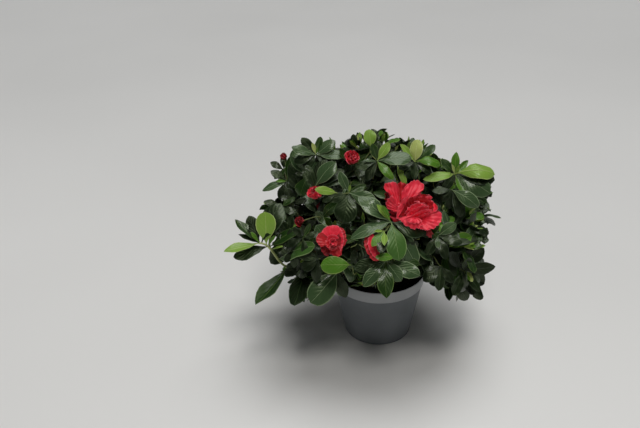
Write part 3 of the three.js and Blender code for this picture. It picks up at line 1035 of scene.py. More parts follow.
def sheetShape(name, pointAt, alongAt, rows, columns, collection):
    spots = [(t, s) for t in rows for s in columns]
    points, along = [pointAt(t, s) for t, s in spots], [alongAt(t, s) for t, s in spots]
    maps = [(0.5 + s / 2, t) for t, s in spots]
    shapeObject(name, points, gridFaces(len(rows), len(columns)), collection, along, maps)


def leafLines(name, shape):  # the raised midrib and the pale rolled margins
    points, along = [], []
    for t in leafRows:
        middle = bladePoint(shape, t, 0)
        onward = bladePoint(shape, min(1, t + 0.02), 0) - bladePoint(shape, max(0, t - 0.02), 0)
        above = onward.normalized().cross(Vector((0, 1, 0))).normalized()
        side = Vector((0, leafDetail["rib"] * (1 - 0.75 * t), 0))
        lift, below = above * leafDetail["ribTop"], above * leafDetail["ribBelow"] * (1 - 0.7 * t)
        points += [middle - side + lift, middle + side + lift, middle - below]
        along += [t] * 3
    faces = turned(ringFaces(len(leafRows), 3))
    margin = leafDetail["paleMargin" if name in leafDetail["paleMargined"] else "margin"]
    for sign in (-1, 1):
        strip = stripFaces(len(points), len(leafRows) - 1)
        faces += turned(strip) if sign > 0 else strip
        for t in leafRows[1:]:
            inner, outer = bladePoint(shape, t, sign * leafDetail["marginIn"]), bladePoint(shape, t, sign)
            away = outer - bladePoint(shape, t, 0)
            away = away.normalized() if away.length > 1e-5 else Vector((1, 0, 0))
            inner.z += leafDetail["marginLift"]
            points += [inner, outer + away * margin * (0.5 if t == 1 else 1)]
            along += [t, t]
    shapeObject("lines_" + name, points, faces, lineShapes, along)


bladeShapes, lineShapes = newCollection("bladeShapes"), newCollection("lineShapes")
for name, shape in leafShapes.items():
    sheetShape("blade_" + name, lambda t, s: bladePoint(shape, t, s), lambda t, s: t, leafRows, leafColumns,
               bladeShapes)
    leafLines(name, shape)


# Scattering: one shape for each point, turned and sized by the point, with a little wander
spotKinds = {"turn": "QUATERNION", "size": "FLOAT_VECTOR", "shape": "INT", "loose": "FLOAT"}


def scatterTree():
    tree, given = newNodeTree("scatter", {"Shapes": "Collection", "Wander": "Float", "Wave size": "Float",
                                          "Seed": "Float"})
    here = {label: attributeIn(tree, label, kind) for label, kind in spotKinds.items()}
    shapes = addNode(tree, "GeometryNodeCollectionInfo", Collection=given["Shapes"], Separate_Children=True,
                     Reset_Children=True)
    copies = addNode(tree, "GeometryNodeInstanceOnPoints", Points=given["Geometry"], Instance=shapes,
                     Pick_Instance=True, Instance_Index=here["shape"], Rotation=here["turn"],
                     Scale=here["size"])
    real = addNode(tree, "GeometryNodeRealizeInstances", Geometry=copies)
    # The wander bends a shape more the further along it a point is, and the looser its spot is.
    waves = addNode(tree, "ShaderNodeTexNoise", "Color", noise_dimensions="4D", Scale=given["Wave size"],
                    W=given["Seed"], Detail=1)
    centred = mathNode(tree, "SUBTRACT", waves, (0.5, 0.5, 0.5), "ShaderNodeVectorMath")
    bend = mathNode(tree, "POWER", attributeIn(tree, "along", "FLOAT"), 1.6)
    bend = mathNode(tree, "MULTIPLY", mathNode(tree, "MULTIPLY", bend, given["Wander"]), here["loose"])
    moved = addNode(tree, "GeometryNodeSetPosition", Geometry=real, Offset=scaled(tree, centred, bend))
    return endTree(tree, given, moved)


scatter = scatterTree()


def spotAt(place, turn, size, shape, width=1.0, loose=1.0):
    return place, turn[:], (size, size * width, size), shape, loose


# Wander: how far, how wide its waves are, and a seed
def scatterPiece(name, spots, shapes, wander, material):
    places, *values = zip(*spots)
    made = linkMesh(name, places)
    for (label, kind), column in zip(spotKinds.items(), values):
        setAttribute(made, label, kind, column)
    reach, width, seed = wander
    return growWith(made, scatter, {"Shapes": shapes, "Wander": reach * mm, "Wave size": 1000 / width,
                                    "Seed": seed, "Material": material})


def turnTo(direction, normal):  # the turn that carries X onto the direction and Z towards the normal
    direction = direction.normalized()
    side = normal.cross(direction)
    side = (side if side.length > 1e-4 else direction.orthogonal()).normalized()
    return Matrix((direction, side, direction.cross(side))).transposed().to_quaternion()


# Leaves: whorls at the shoots' ends, a tuft of young ones inside, and single ones down the twigs
leafKinds = {
    "deep": {"colour": (10, 20, 6), "lines": (34, 50, 24), "roughness": 0.36, "coat": 0.16},
    "dark": {"colour": (14, 28, 8), "lines": (50, 70, 32), "roughness": 0.34, "coat": 0.22},
    "mid": {"colour": (27, 53, 12), "lines": (82, 106, 44), "roughness": 0.36, "coat": 0.24},
    # This kind is a green leaf whose base colour is paled and greyed: painted sheen, for the whitish sheen
    # that glossy leaves show.
    "grey": {"colour": (54, 76, 45), "lines": (118, 138, 96), "roughness": 0.36, "coat": 0.34},
    "leaf": {"colour": (62, 96, 40), "lines": (122, 148, 88), "roughness": 0.38, "coat": 0.24},
    "fresh": {"colour": (74, 118, 28), "lines": (128, 156, 66), "roughness": 0.38, "coat": 0.2},
    "young": {"colour": (126, 160, 62), "lines": (172, 192, 108), "roughness": 0.42, "coat": 0.15},
    "pale": {"colour": (178, 190, 108), "lines": (206, 212, 150), "roughness": 0.45, "coat": 0.1},
}
youngKinds = ("young", "pale")
sprayTints = {  # the kinds of the outer and the inner leaves of one shoot, and how often such shoots come
    "old": [(("deep", "dark"), 5), (("dark", "mid"), 4), (("dark", "dark"), 3), (("grey", "mid"), 3),
            (("mid", "fresh"), 3)],
    "young": [(("mid", "fresh"), 3), (("fresh", "young"), 2), (("dark", "fresh"), 3)],
    "inner": [(("deep", "deep"), 5), (("deep", "dark"), 3)],
}
whorlSet = {
    "count": (7, 10),
    "innerFewer": 2,
    "length": (28, 45),
    "youngLength": 0.85,
    "incline": (24, 100),
    "inclineWander": 12,
    "inclineAtBloom": 68,  # the least, where a bloom fills the middle
    "neckShare": 0.42,  # how far below its bloom's middle a whorl sits, as a share of the size
    "innerShare": 0.35,  # the share of the leaves that have the inner tint
    "innerLength": 0.55,
    "turnWander": 16,
    "spread": 13.0,  # length of stem that the whorl takes
    "stem": 0.8,
    "skyward": 0.35,  # how far the blades turn up to the light
    "sag": 0.14,
    "uneven": (0.85, 1.12),
    "top": 0.5,  # how far below the tip the innermost leaf starts
    "inclinePower": 0.75,
    "fullAfter": 1.7,  # how soon towards the outside the leaves have their full length
}
tuftSet = {"count": (3, 5), "length": (0.24, 0.46), "youngLength": 1.3, "incline": (6, 26), "turn": 60,
           "tints": ["fresh", "young", "young", "pale"]}
# How far a leaf in the photo turns its face to the camera, out of the shoot and to the sky
seenTurns = (0.45, 0.65, 0.15)
seenWander = 0.22
sideSet = {"first": 6, "step": 9.0, "uneven": (0.8, 1.3), "reach": 46.0, "incline": (58, 100),
           "length": (26, 42), "sag": 0.2}
leafWander = (9.0, 34.0, 1.7)
proud = {"share": 0.03, "more": 7.0}  # how far past the solids' box leaves may reach
leaves = {kind: [] for kind in leafKinds}
sprayLines = [boughLines["left_spray"], *(points for points, radii in stalks)]
stalkPoints = [p for line in sprayLines for p in smoothLine(line, 1 * mm)]


def leafMaterial(name, look):
    material, tree, shader = newMaterial(name, Base_Color=srgb(*look["colour"]), Coat_Weight=look["coat"],
                                         Coat_Roughness=0.13, Specular_IOR_Level=0.42,
                                         Specular_Tint=(0.8, 1.0, 0.55))
    # The blade bulges between side veins that run forward from the midrib.
    place = addNode(tree, "ShaderNodeUVMap", uv_map="leafMap")
    across = mathNode(tree, "ABSOLUTE", mathNode(tree, "SUBTRACT", partOf(tree, place, "X"), 0.5))
    onward = mathNode(tree, "MULTIPLY", partOf(tree, place, "Y"), 7.0)
    phase = mathNode(tree, "SUBTRACT", onward, mathNode(tree, "MULTIPLY", across, 5.0))
    wave = mathNode(tree, "SINE", mathNode(tree, "MULTIPLY", phase, math.pi))
    quilted = mathNode(tree, "POWER", mathNode(tree, "ABSOLUTE", wave), 0.6)
    fine = mathNode(tree, "MULTIPLY", noiseOn(tree, 420, 2), 0.3)
    bumpInto(tree, shader, mathNode(tree, "ADD", mathNode(tree, "MULTIPLY", quilted, 0.6), fine), 0.5, 0.7)
    roughnessInto(tree, shader, 90, 2, look["roughness"] - 0.1, look["roughness"] + 0.1)
    return material


def outOfRoom(tip):
    for low, high, value in zip(*cadBox, tip):
        slack = (high - low) * proud["share"] + proud["more"] * mm
        if not low - slack < value < high + slack:
            return True
    return False


def hitsPot(base, tip, steps=6):
    for i in range(1, steps + 1):
        point = base.lerp(tip, i / steps) / mm
        reach = math.hypot(point.x, point.y)
        overPeat = reach < potSpace["innerRadius"] and point.z > potSpace["soil"]
        atPot = reach < potSpace["radius"] and point.z < potSpace["height"] and not overPeat
        if point.z < potSpace["ground"] or atPot:
            return True
    return False


def addLeaf(draw, kind, base, direction, normal, length, shape):
    tip = base + direction.normalized() * length * mm
    drawn = draw.choices(shapeNames, [leafShapes[n]["often"] for n in shapeNames])[0]
    width = draw.uniform(*whorlSet["uneven"])
    if not (hitsPot(base, tip) or outOfRoom(tip) or covers(base, tip)):
        index = shapeNames.index(shape or drawn)
        leaves[kind].append(spotAt(base, turnTo(direction, normal), length * mm, index, width))


def addSeenLeaf(draw, shoot, tip, leaf):  # the leaf's tip ends at the place that the photo gives for it
    _, _, kind, shape, *foot = leaf
    base, toEye = shoot["place"], (eye - shoot["place"]).normalized()
    if foot:
        base = min(stalkPoints, key=lambda p: math.dist(toPixel(p)[:2], foot[0]))
    end = bladePoint(leafShapes[shape], 1, 0)
    wander = Vector([draw.uniform(-seenWander, seenWander) for _ in range(3)])
    facing = up if "spray" in shoot["mass"] else shoot["axis"]
    byCamera, byShoot, bySky = seenTurns
    turn = turnTo(tip - base, toEye * byCamera + facing * byShoot + up * bySky + wander)
    lean = Quaternion((0, 1, 0), math.atan2(end.z, end.x))
    size = (tip - base).length / math.hypot(end.x, end.z)
    leaves[kind].append(spotAt(base, turn @ lean, size, shapeNames.index(shape)))


def around(axis, angle):  # a unit vector square to the axis
    side = axis.cross(up)
    side = side.normalized() if side.length > 0.05 else Vector((1, 0, 0))
    return side * math.cos(math.radians(angle)) + axis.cross(side) * math.sin(math.radians(angle))


def leafFrom(draw, place, axis, azimuth, incline, length, kind, sag, shape=None):
    out, tilt = around(axis, azimuth), math.radians(incline)
    direction = (axis * math.cos(tilt) + out * math.sin(tilt) - up * sag).normalized()
    normal = axis * math.sin(tilt) - out * math.cos(tilt) + up * whorlSet["skyward"]
    addLeaf(draw, kind, place + out * whorlSet["stem"] * mm, direction, normal, length, shape)


def addWhorl(shoot):
    tip, axis, age, bloom = shoot["place"], shoot["axis"], shoot["age"], shoot.get("bloom")
    draw = drawsFor(shoot["label"], "whorl")
    count = draw.randint(*whorlSet["count"]) - (whorlSet["innerFewer"] if age == "inner" else 0)
    size = draw.uniform(*whorlSet["length"]) * (whorlSet["youngLength"] if age == "young" else 1)
    outer, inner = shoot["tints"]
    if bloom:
        tip = tip - axis * bloom["size"] * whorlSet["neckShare"] * mm
        shoot["neck"] = tip
    start, wander, lag = draw.uniform(0, 360), whorlSet["inclineWander"], whorlSet["turnWander"]
    for k in range(count):
        share = k / (count - 1)
        incline = lerp(*whorlSet["incline"], share ** whorlSet["inclinePower"])
        incline += draw.uniform(-wander, wander)
        if bloom:
            incline = max(incline, whorlSet["inclineAtBloom"])
        length = size * lerp(whorlSet["innerLength"], 1, min(1, share * whorlSet["fullAfter"]))
        length *= draw.uniform(*whorlSet["uneven"])
        place = tip - axis * lerp(whorlSet["top"], whorlSet["spread"], share) * mm
        azimuth = start + k * goldenAngle + draw.uniform(-lag, lag)
        leafFrom(draw, place, axis, azimuth, incline, length,
                 inner if share < whorlSet["innerShare"] else outer, whorlSet["sag"] * share)
    if age != "inner" and not bloom:
        for k in range(draw.randint(*tuftSet["count"])):
            length = size * draw.uniform(*tuftSet["length"])
            length *= tuftSet["youngLength"] if age == "young" else 1
            leafFrom(draw, tip, axis, start + tuftSet["turn"] + k * goldenAngle,
                     draw.uniform(*tuftSet["incline"]), length, draw.choice(tuftSet["tints"]), 0, "narrow")


def addSideLeaves(shoot):
    line, draw = shoot["chain"], drawsFor(shoot["label"], "side leaves")
    run, wanted, azimuth = 0.0, whorlSet["spread"] + sideSet["first"], draw.uniform(0, 360)
    for a, b in zip(line[::-1], line[-2::-1]):
        run += (a - b).length / mm
        if run > sideSet["reach"]:
            break
        if run < wanted:
            continue
        wanted = run + sideSet["step"] * draw.uniform(*sideSet["uneven"])
        azimuth += goldenAngle
        leafFrom(draw, b, (a - b).normalized(), azimuth, draw.uniform(*sideSet["incline"]),
                 draw.uniform(*sideSet["length"]), shoot["tints"][0], sideSet["sag"])


for shoot in shoots:
    draw = drawsFor(shoot["label"], "tints")
    pairs, often = zip(*sprayTints[shoot["age"]])
    shoot["tints"] = draw.choices(pairs, often)[0]
    if "tips" in shoot:
        for tip, leaf in zip(shoot["tips"], shoot["leaves"]):
            addSeenLeaf(draw, shoot, tip, leaf)
    else:
        addWhorl(shoot)
    if "spray" not in shoot["mass"]:
        addSideLeaves(shoot)

leafPieces = {}
for kind, look in leafKinds.items():
    lines, tree, shader = newMaterial("leafLines_" + kind, Roughness=0.5, Base_Color=srgb(*look["lines"]))
    bumpInto(tree, shader, noiseOn(tree, 700, 2), 0.3, 0.2)
    blades = leafMaterial("leaf_" + kind, look)
    for label, shapes, material in (("leaves_", bladeShapes, blades), ("leaf_lines_", lineShapes, lines)):
        leafPieces[label + kind] = scatterPiece(label + kind, leaves[kind], shapes, leafWander, material)
        finishPieces("young_foliage" if kind in youngKinds else "foliage", leafPieces[label + kind])
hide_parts(*massNames)
print("leaves", {kind: len(spots) for kind, spots in leaves.items()},
      sum(len(p.data.polygons) for p in leafPieces.values()), "faces")


# Blooms: double, with ruffled petals set by the golden angle from the open rim to the closed heart
petalFields = ("width", "cup", "lift", "curve", "notch", "ruffle", "folds")
petalShapes = {
    "cup": (0.88, 0.42, 4, -24, 0.07, 0.06, 7),
    "heart": (0.66, 0.75, 0, -58, 0.05, 0.05, 6),
    "rim": (0.98, 0.12, 20, 64, 0.05, 0.09, 8),
    "ruffled": (1.0, 0.2, 10, 26, 0.09, 0.13, 8.5),
    "wavy": (0.9, -0.12, 16, 44, 0.06, 0.11, 7),
}
petalShapes = {name: dict(zip(petalFields, values)) for name, values in petalShapes.items()}
petalNames = sorted(petalShapes)
petalRows = [0, 0.14, 0.28, 0.42, 0.55, 0.66, 0.76, 0.84, 0.90, 0.95, 0.98, 1.0]
petalColumns = [-1, -0.86, -0.68, -0.46, -0.23, 0, 0.23, 0.46, 0.68, 0.86, 1]
petalDetail = {"neck": 0.16, "roundFrom": 0.7, "roundOff": 0.37, "shoulder": 0.07, "ragged": 0.02,
               "edgeFrom": 4, "edgeIn": 0.03, "edgeSide": 0.05, "edgeLift": 0.004, "edgeOut": 0.35}


def petalPoint(shape, t, s):
    lift, curve = math.radians(shape["lift"]), math.radians(shape["curve"])
    spread = math.sin(math.pi * min(1, t * 0.62 + 0.04)) ** 1.2
    half = shape["width"] / 2 * lerp(petalDetail["neck"], 1, spread)
    if t >= petalDetail["roundFrom"]:
        half *= math.sqrt(max(0, 1 - ((t - petalDetail["roundFrom"]) / petalDetail["roundOff"]) ** 2))
    reach = t - shape["notch"] * (1 - abs(s)) ** 2 * t**6 - petalDetail["shoulder"] * s * s * t**3
    angle = lift - curve * (reach + petalDetail["ragged"] * math.sin(17 * s + 2) * t**10)
    along = (math.sin(lift) - math.sin(angle)) / curve
    height = (math.cos(angle) - math.cos(lift)) / curve
    waves = math.sin(shape["folds"] * s + 4 * t) + 0.5 * t * math.sin(2.1 * shape["folds"] * s + 1.3)
    bulge = half * shape["cup"] * s * s + shape["ruffle"] * max(s * s * t, t**2) * waves
    return Vector((along - math.sin(angle) * bulge, half * s, height + math.cos(angle) * bulge))


def petalLoose(t, s):  # how freely a point of a petal wanders
    return min(1, t * (0.55 + 0.55 * abs(s) * t + 0.3 * t**4))


def petalEdgeHighlight(name, shape):  # the thin pale edge round a petal's outer half: a painted highlight on the rim
    sides, detail = petalRows[petalDetail["edgeFrom"]:-1], petalDetail
    outline = [(t, -1) for t in sides] + [(1, s) for s in petalColumns] + [(t, 1) for t in sides[::-1]]
    points, along = [], []
    for t, s in outline:
        outer = petalPoint(shape, t, s)
        within = (t - detail["edgeIn"], s) if t == 1 else (t, s * (1 - detail["edgeSide"]))
        inner = petalPoint(shape, *within)
        points += [inner + up * detail["edgeLift"], outer + (outer - inner) * detail["edgeOut"]]
        along += [petalLoose(t, s)] * 2
    shapeObject("edge_" + name, points, stripFaces(0, len(outline)), edgeShapes, along)


petalSheets, edgeShapes = newCollection("petalShapes"), newCollection("edgeShapes")
for name, shape in petalShapes.items():
    sheetShape("petal_" + name, lambda t, s: petalPoint(shape, t, s), petalLoose, petalRows, petalColumns,
               petalSheets)
    petalEdgeHighlight(name, shape)

# The petals that show in the photo: the foot, the points along the outer edge (each a pixel and how much
# nearer than the bloom's middle it is), how far the middle bulges towards the camera, and the kind.
# Open petals have the lit red; inner and closed petals have darker reds, painted shade for petals that lie
# in shade.
shownPetals = {
    "twinUpper": [
        ((401, 208, -3), [(406, 187, -4), (404, 183, -6), (400, 182.5, -7), (396, 184, -6),
         (393, 189, -4)], -4, "inner"),
        ((398, 208, -4), [(389, 190, -6), (385.5, 193, -8), (385.5, 199, -8),
         (388, 204, -6)], -5, "closed"),
        ((399, 208, 0), [(399, 190, 3), (397, 184, 0), (392, 182.5, -2), (387, 182.5, -3), (384, 187, -3),
         (386, 191, 0), (390, 193, 3)], -1, "open"),
        ((401, 210, 1), [(393, 195, 4), (388, 199, 3), (386, 203, 1), (387, 207.5, 0), (391, 211, 1),
         (396, 212, 2)], 2, "open"),
        ((402, 209, 2), [(409, 199, 5), (416, 194, 4), (423, 190, 1), (424, 186, -2), (419, 181, -3),
         (413, 181, -2), (407, 185, 1), (402, 191, 4)], 3, "open"),
    ],
    "twinLower": [
        ((416, 214, -9), [(410, 200, -3), (417, 197, -4), (424, 197, -5), (428, 200, -6), (433, 203, -6),
         (433.5, 208, -5)], -5, "inner"),
        ((414, 217, -10), [(398, 219, -1), (399, 214, 1), (401, 209, 1), (404, 204, 1), (409, 199.5, -1),
         (413, 197, -3)], -8, "inner"),
        ((404.5, 206, -1), [(397, 219, 1), (397, 214, 3), (398.5, 208.5, 4), (400.5, 203, 4.5),
         (404, 199, 4), (409, 195.5, 2)], 2, "open"),
        ((415, 216, -7), [(405, 214, -1), (408, 208, 0), (414, 204, 0), (421, 203, -1),
         (426, 205, -2)], 1, "open"),
        ((417, 218, -6), [(404, 218, 2), (409, 212, 3), (416, 208.5, 3), (423, 205.5, 3),
         (429, 206, 1)], 1, "open"),
        ((418, 219, -5), [(406, 219, 3), (413, 215, 5), (420, 211.5, 5), (426, 209, 4),
         (432, 210, 1)], 2, "open"),
        ((418, 220, -6), [(411, 219.5, 4), (418, 216.5, 5), (425, 213.5, 4), (431, 212.5, 1)], 1, "open"),
        ((419, 219, -8), [(420, 229, 4), (426, 230, 3), (433, 228.5, 1), (440, 222, -1), (441.5, 215, -3),
         (439, 211, -4), (434, 212, 0)], 7, "open"),
        ((416, 216, 0), [(397.5, 217.5, 3), (401, 221.5, 4), (406, 225.5, 4), (412, 227.8, 4),
         (418, 228.5, 5), (424, 225, 5)], 3, "open"),
        ((415, 217, 2), [(405, 219, 6), (410, 222.5, 7), (416, 223.5, 7), (422, 220, 7)], 3, "open"),
        ((429, 228, -4), [(426, 232, -4), (428, 237, -5), (431, 238, -6), (433, 233, -5)], 1, "closed"),
    ],
    "lowLeft": [
        ((333, 240, -7), [(322, 232.5, -3), (324, 229, -4), (328, 226.2, -5), (333, 225.6, -5.5),
         (338, 226.5, -5), (341, 229.5, -4), (342.5, 233, -4)], 2, "open"),
        ((335, 242, -7), [(340, 227.5, -5), (343.5, 229.5, -5), (345, 233, -5), (345.5, 238, -6),
         (345, 243, -6)], 1, "inner"),
        ((332, 242, -6), [(322.5, 232.5, -1), (319, 234, -2), (317, 237, -2), (317, 241, -2),
         (318.5, 244.5, -1), (321.5, 247, -1)], 2.5, "inner"),
        ((332, 243, -8), [(320, 245, -5), (321.5, 250, -6), (324, 254, -7), (328, 256, -7),
         (330, 252, -5)], -2, "closed"),
        ((334, 243, -6), [(330, 253, -3), (334, 256, -3), (338, 256.5, -3), (341, 254.5, -3),
         (342, 249, -3), (342.5, 244, -3)], 2, "inner"),
        ((335, 241, -6), [(341, 231, -2), (343, 235, -2), (343.5, 240, -2), (342.5, 246, -2),
         (340.5, 251, -2)], 1, "open"),
        ((334, 241, -4), [(338.5, 234, 0), (340.5, 236.5, 1), (341, 240, 1), (340.5, 244, 1.5),
         (339, 248, 2)], 1, "closed"),
        ((332, 242, -3), [(330, 249, 2), (326.5, 246.5, 2.5), (325.5, 242, 2), (327, 238, 1)], 2, "inner"),
        ((333, 242, -3), [(338.5, 246, 2), (336, 249.5, 3), (332, 250.5, 3), (328, 248, 2)], 2, "closed"),
        ((332, 241, -3), [(327.5, 239.5, 2), (328, 236.2, 2.5), (330.5, 235, 2.5), (334, 235, 2),
         (337, 236, 1.5), (338.5, 238.5, 1)], 1, "open"),
        ((332.5, 241, 0), [(329.5, 243.5, 3), (329.5, 240, 4), (332, 238, 4.5), (335, 238.7, 4),
         (336.5, 241, 3.5)], 1, "open"),
        ((332.5, 242, 0), [(337.3, 241, 4), (337, 244.5, 4.5), (334, 246.5, 4.5),
         (331, 245.5, 4)], 1.5, "inner"),
        ((333, 242, 1), [(331, 243, 5), (331.5, 240.6, 5.5), (333.5, 240.3, 5.5),
         (334.8, 242, 5)], 1, "closed"),
        ((333, 242.5, 3), [(334.5, 241.5, 5.5), (334.8, 244, 6), (332.5, 244.6, 6),
         (331.3, 243, 5.5)], 1.5, "open"),
    ],
    "behindLeaves": [
        ((379, 245, -7), [(370, 229, -5), (365.5, 235, -4), (364.5, 241, -3), (365.5, 248, -2),
         (368.5, 254.5, -2), (373, 260, -3), (379, 260, -4)], 3, "inner"),
        ((381, 246, -5), [(372, 233, -1), (368.5, 239, 0), (368.5, 246, 1), (371, 253, 1),
         (376, 258, 0)], 2, "open"),
        ((382, 246, -4), [(376, 236, 0), (373, 241, 2), (373, 247, 3), (376, 253, 2)], 1, "inner"),
    ],
}
# How much of their waves these petals have
calmPetals = {"twinUpper": 1.0, "twinLower": 1.0, "lowLeft": 0.45, "behindLeaves": 0.5}
patchSet = {
    "rows": 15,
    "columns": 31,
    "neck": 0.14,
    "pleat": 0.8,
    "pleatWidth": 5.2,
    "frill": 1.0,
    "frillsPerPleat": 2.3,
    "wrinkle": 2.2,
    "wrinkleGrain": 210,  # to the metre
    "ragged": 2.2,
    "tearWidth": 1.7,
    "edge": 0.35,
    "edgeIn": 0.2,
    "edgeLift": 0.15,
    "seedStep": 1.7,
}


def patchPetal(foot, edge, belly, depth, seed, rough):  # a petal's grid, from its foot to its outer edge
    root = atDepth(foot[:2], depth - foot[2] * mm)
    towards = (eye - root).normalized()
    line = smoothLine([atDepth(p[:2], depth - p[2] * mm) for p in edge], 0.5 * mm)
    last = patchSet["columns"] - 1
    rim = [line[round(k * (len(line) - 1) / last)] for k in range(last + 1)]
    middle = sum(rim, Vector()) / len(rim)
    breadth = sum((b - a).length for a, b in zip(rim, rim[1:])) / mm
    grid = []
    for row in range(patchSet["rows"]):
        t = row / (patchSet["rows"] - 1)
        for k, tip in enumerate(rim):
            s = k / last
            start = root + (tip - middle) * patchSet["neck"]
            bend = start.lerp(tip, 0.5) + towards * belly * mm
            point = start * (1 - t) ** 2 + bend * 2 * t * (1 - t) + tip * t * t
            waves = breadth / patchSet["pleatWidth"] * s * 2 * math.pi + seed
            waves += 1.8 * math.sin(2.6 * t + seed) + 2 * math.sin(5 * s + seed)
            lift = patchSet["pleat"] * math.sin(waves) * t * (1.3 - 0.5 * t)
            lift += patchSet["frill"] * math.sin(waves * patchSet["frillsPerPleat"] + seed * 3) * t**5
            wrinkle = noise.noise(point * patchSet["wrinkleGrain"] + Vector((seed, 0, 0)))
            torn = noise.noise(Vector((s * breadth / patchSet["tearWidth"], seed, 0.5))) * t**7
            shift = towards * (lift + patchSet["wrinkle"] * wrinkle * t)
            shift += (tip - start).normalized() * patchSet["ragged"] * torn
            grid.append(point + shift * rough * mm)
    return grid, towards


petals = {"open": [], "inner": [], "closed": []}
patches = {kind: ([], []) for kind in petals}
patchEdgeHighlights = {kind: ([], []) for kind in petals}


def addPatches(name, depth):
    columns = patchSet["columns"]
    for number, (foot, edge, belly, kind) in enumerate(shownPetals[name]):
        seed = number * patchSet["seedStep"]
        grid, towards = patchPetal(foot, edge, belly, depth, seed, calmPetals[name])
        points, faces = patches[kind]
        faces += [tuple(len(points) + i for i in face) for face in gridFaces(patchSet["rows"], columns)]
        points += grid
        # The thin strip along each petal's outer edge takes the paler edge colour: a painted highlight on
        # the rim.
        points, faces = patchEdgeHighlights[kind]
        faces += stripFaces(len(points), columns)
        for inner, outer in zip(grid[-2 * columns:-columns], grid[-columns:]):
            out, lift = (outer - inner).normalized() * mm, towards * patchSet["edgeLift"] * mm
            points += [outer - out * patchSet["edgeIn"] + lift, outer + out * patchSet["edge"]]


bloomSet = {
    "throat": 0.42,  # how far below a bloom's middle its throat is, as a share of the size
    "heart": 0.14,
    "front": 0.2,
    "length": (0.42, 0.58),
    "lengthUneven": (0.9, 1.08),
    "widthUneven": (0.9, 1.15),
    "tilts": (5, 32, 82),  # of the heart, and of the rim when closed and when open
    "tiltWander": 8,
    "turnWander": 14,
    "lean": 0.35,
    "openSize": 44,
    "looseSize": 40,
    "firm": 0.45,
    "closedSize": 22,  # below it all petals have the closed shade, the darkest red: partly the deeper red of tight buds, partly painted shade
    "behind": 5,  # how far behind the petals shaped by the photo the others keep
    "pedicel": (0.9, 0.9, 1.6),
    "pedicelEnds": (3, 2),  # how far it runs into the shoot and into the throat
    "sharePower": 0.8,
    "zones": (0.3, 0.62),  # the shares at which the middle and the rim start
    "halfOpen": 0.7,  # below this opening a bloom is half open
    "openFrom": 0.5,  # from this share on petals have the lit open red; petals nearer the heart have the darker inner red, painted shade
}
petalChoices = {"halfOpen": ("cup", "heart"), "rim": ("rim", "ruffled", "wavy"),
                "middle": ("cup", "ruffled"), "heart": ("heart", "cup")}
pedicels = []


def addBloom(shoot):
    bloom, axis, draw = shoot["bloom"], shoot["axis"], drawsFor(shoot["label"], "petals")
    size, count, isShown = bloom["size"], bloom["petals"], shoot["label"] in shownPetals
    throat = shoot["place"] - axis * (size * bloomSet["throat"]) * mm
    front = toPixel(shoot["place"] + axis * size * bloomSet["front"] * mm)[2]
    loose = 1 if size >= bloomSet["looseSize"] else size / bloomSet["looseSize"] * bloomSet["firm"]
    opening = min(1, size / bloomSet["openSize"])
    heartTilt, closedTilt, openTilt = bloomSet["tilts"]
    tiltWander, turnWander, lean = bloomSet["tiltWander"], bloomSet["turnWander"], bloomSet["lean"]
    middleFrom, rimFrom = bloomSet["zones"]
    start = draw.uniform(0, 360)
    for k in range(count):
        share = ((k + 0.5) / count) ** bloomSet["sharePower"]  # from the heart to the rim
        tilt = lerp(heartTilt, lerp(closedTilt, openTilt, opening**2), share)
        tilt = math.radians(tilt + draw.uniform(-tiltWander, tiltWander))
        length = size * lerp(*bloomSet["length"], share) * draw.uniform(*bloomSet["lengthUneven"]) * mm
        out = around(axis, start + k * goldenAngle + draw.uniform(-turnWander, turnWander))
        direction = axis * math.cos(tilt) + out * math.sin(tilt)
        normal = axis * math.sin(tilt) - out * math.cos(tilt)
        normal += Vector([draw.uniform(-lean, lean) for _ in range(3)])
        zone = "rim" if share > rimFrom else "middle" if share > middleFrom else "heart"
        zone = "halfOpen" if opening < bloomSet["halfOpen"] else zone
        shape = petalNames.index(draw.choice(petalChoices[zone]))
        base = throat + axis * lerp(bloomSet["heart"], 0, share) * size * mm
        # Painted shade: petals nearer the heart take the darker inner red, and all petals of small blooms
        # the darkest closed red, which is partly also the deeper red of tight buds.
        kind = "open" if share > bloomSet["openFrom"] else "inner"
        kind = "closed" if size < bloomSet["closedSize"] else kind
        if isShown and toPixel(base + direction * length)[2] < front + bloomSet["behind"] * mm:
            continue
        width = draw.uniform(*bloomSet["widthUneven"])
        petals[kind].append(spotAt(base, turnTo(direction, normal), length, shape, width, loose))
    if isShown:
        addPatches(shoot["label"], front)
    neck, (below, above) = shoot["neck"], bloomSet["pedicelEnds"]
    stalkLine = [neck - axis * below * mm, neck.lerp(throat, 0.5), throat + axis * above * mm]
    pedicels.append((stalkLine, [radius * mm for radius in bloomSet["pedicel"]]))


def petalMaterial(name, colour, roughness):
    material, tree, shader = newMaterial(name, Roughness=roughness, Base_Color=srgb(*colour),
                                         Sheen_Weight=0.35, Sheen_Roughness=0.4,
                                         Sheen_Tint=(1.0, 0.45, 0.5))
    # Fine veins run along each petal, over soft crinkles.
    place = addNode(tree, "ShaderNodeUVMap", uv_map="leafMap")
    stretched = addNode(tree, "ShaderNodeMapping", Vector=place, Scale=(26, 3, 1))
    veins = addNode(tree, "ShaderNodeTexNoise", "Fac", Vector=stretched, Scale=1.0, Detail=2)
    height = mathNode(tree, "ADD", mathNode(tree, "MULTIPLY", veins, 0.5), noiseOn(tree, 260, 3))
    bumpInto(tree, shader, height, 0.6, 0.7)
    return material


def fillPiece(name, points, faces, material):  # a piece of its own for petals shaped one by one
    piece = linkMesh(name, points, faces)
    rows, columns = patchSet["rows"], patchSet["columns"]
    mapPoints(piece, [(k % columns / (columns - 1), k // columns / rows % 1) for k in range(len(points))])
    smoothFaces(piece)
    piece.data.materials.append(material)
    return piece
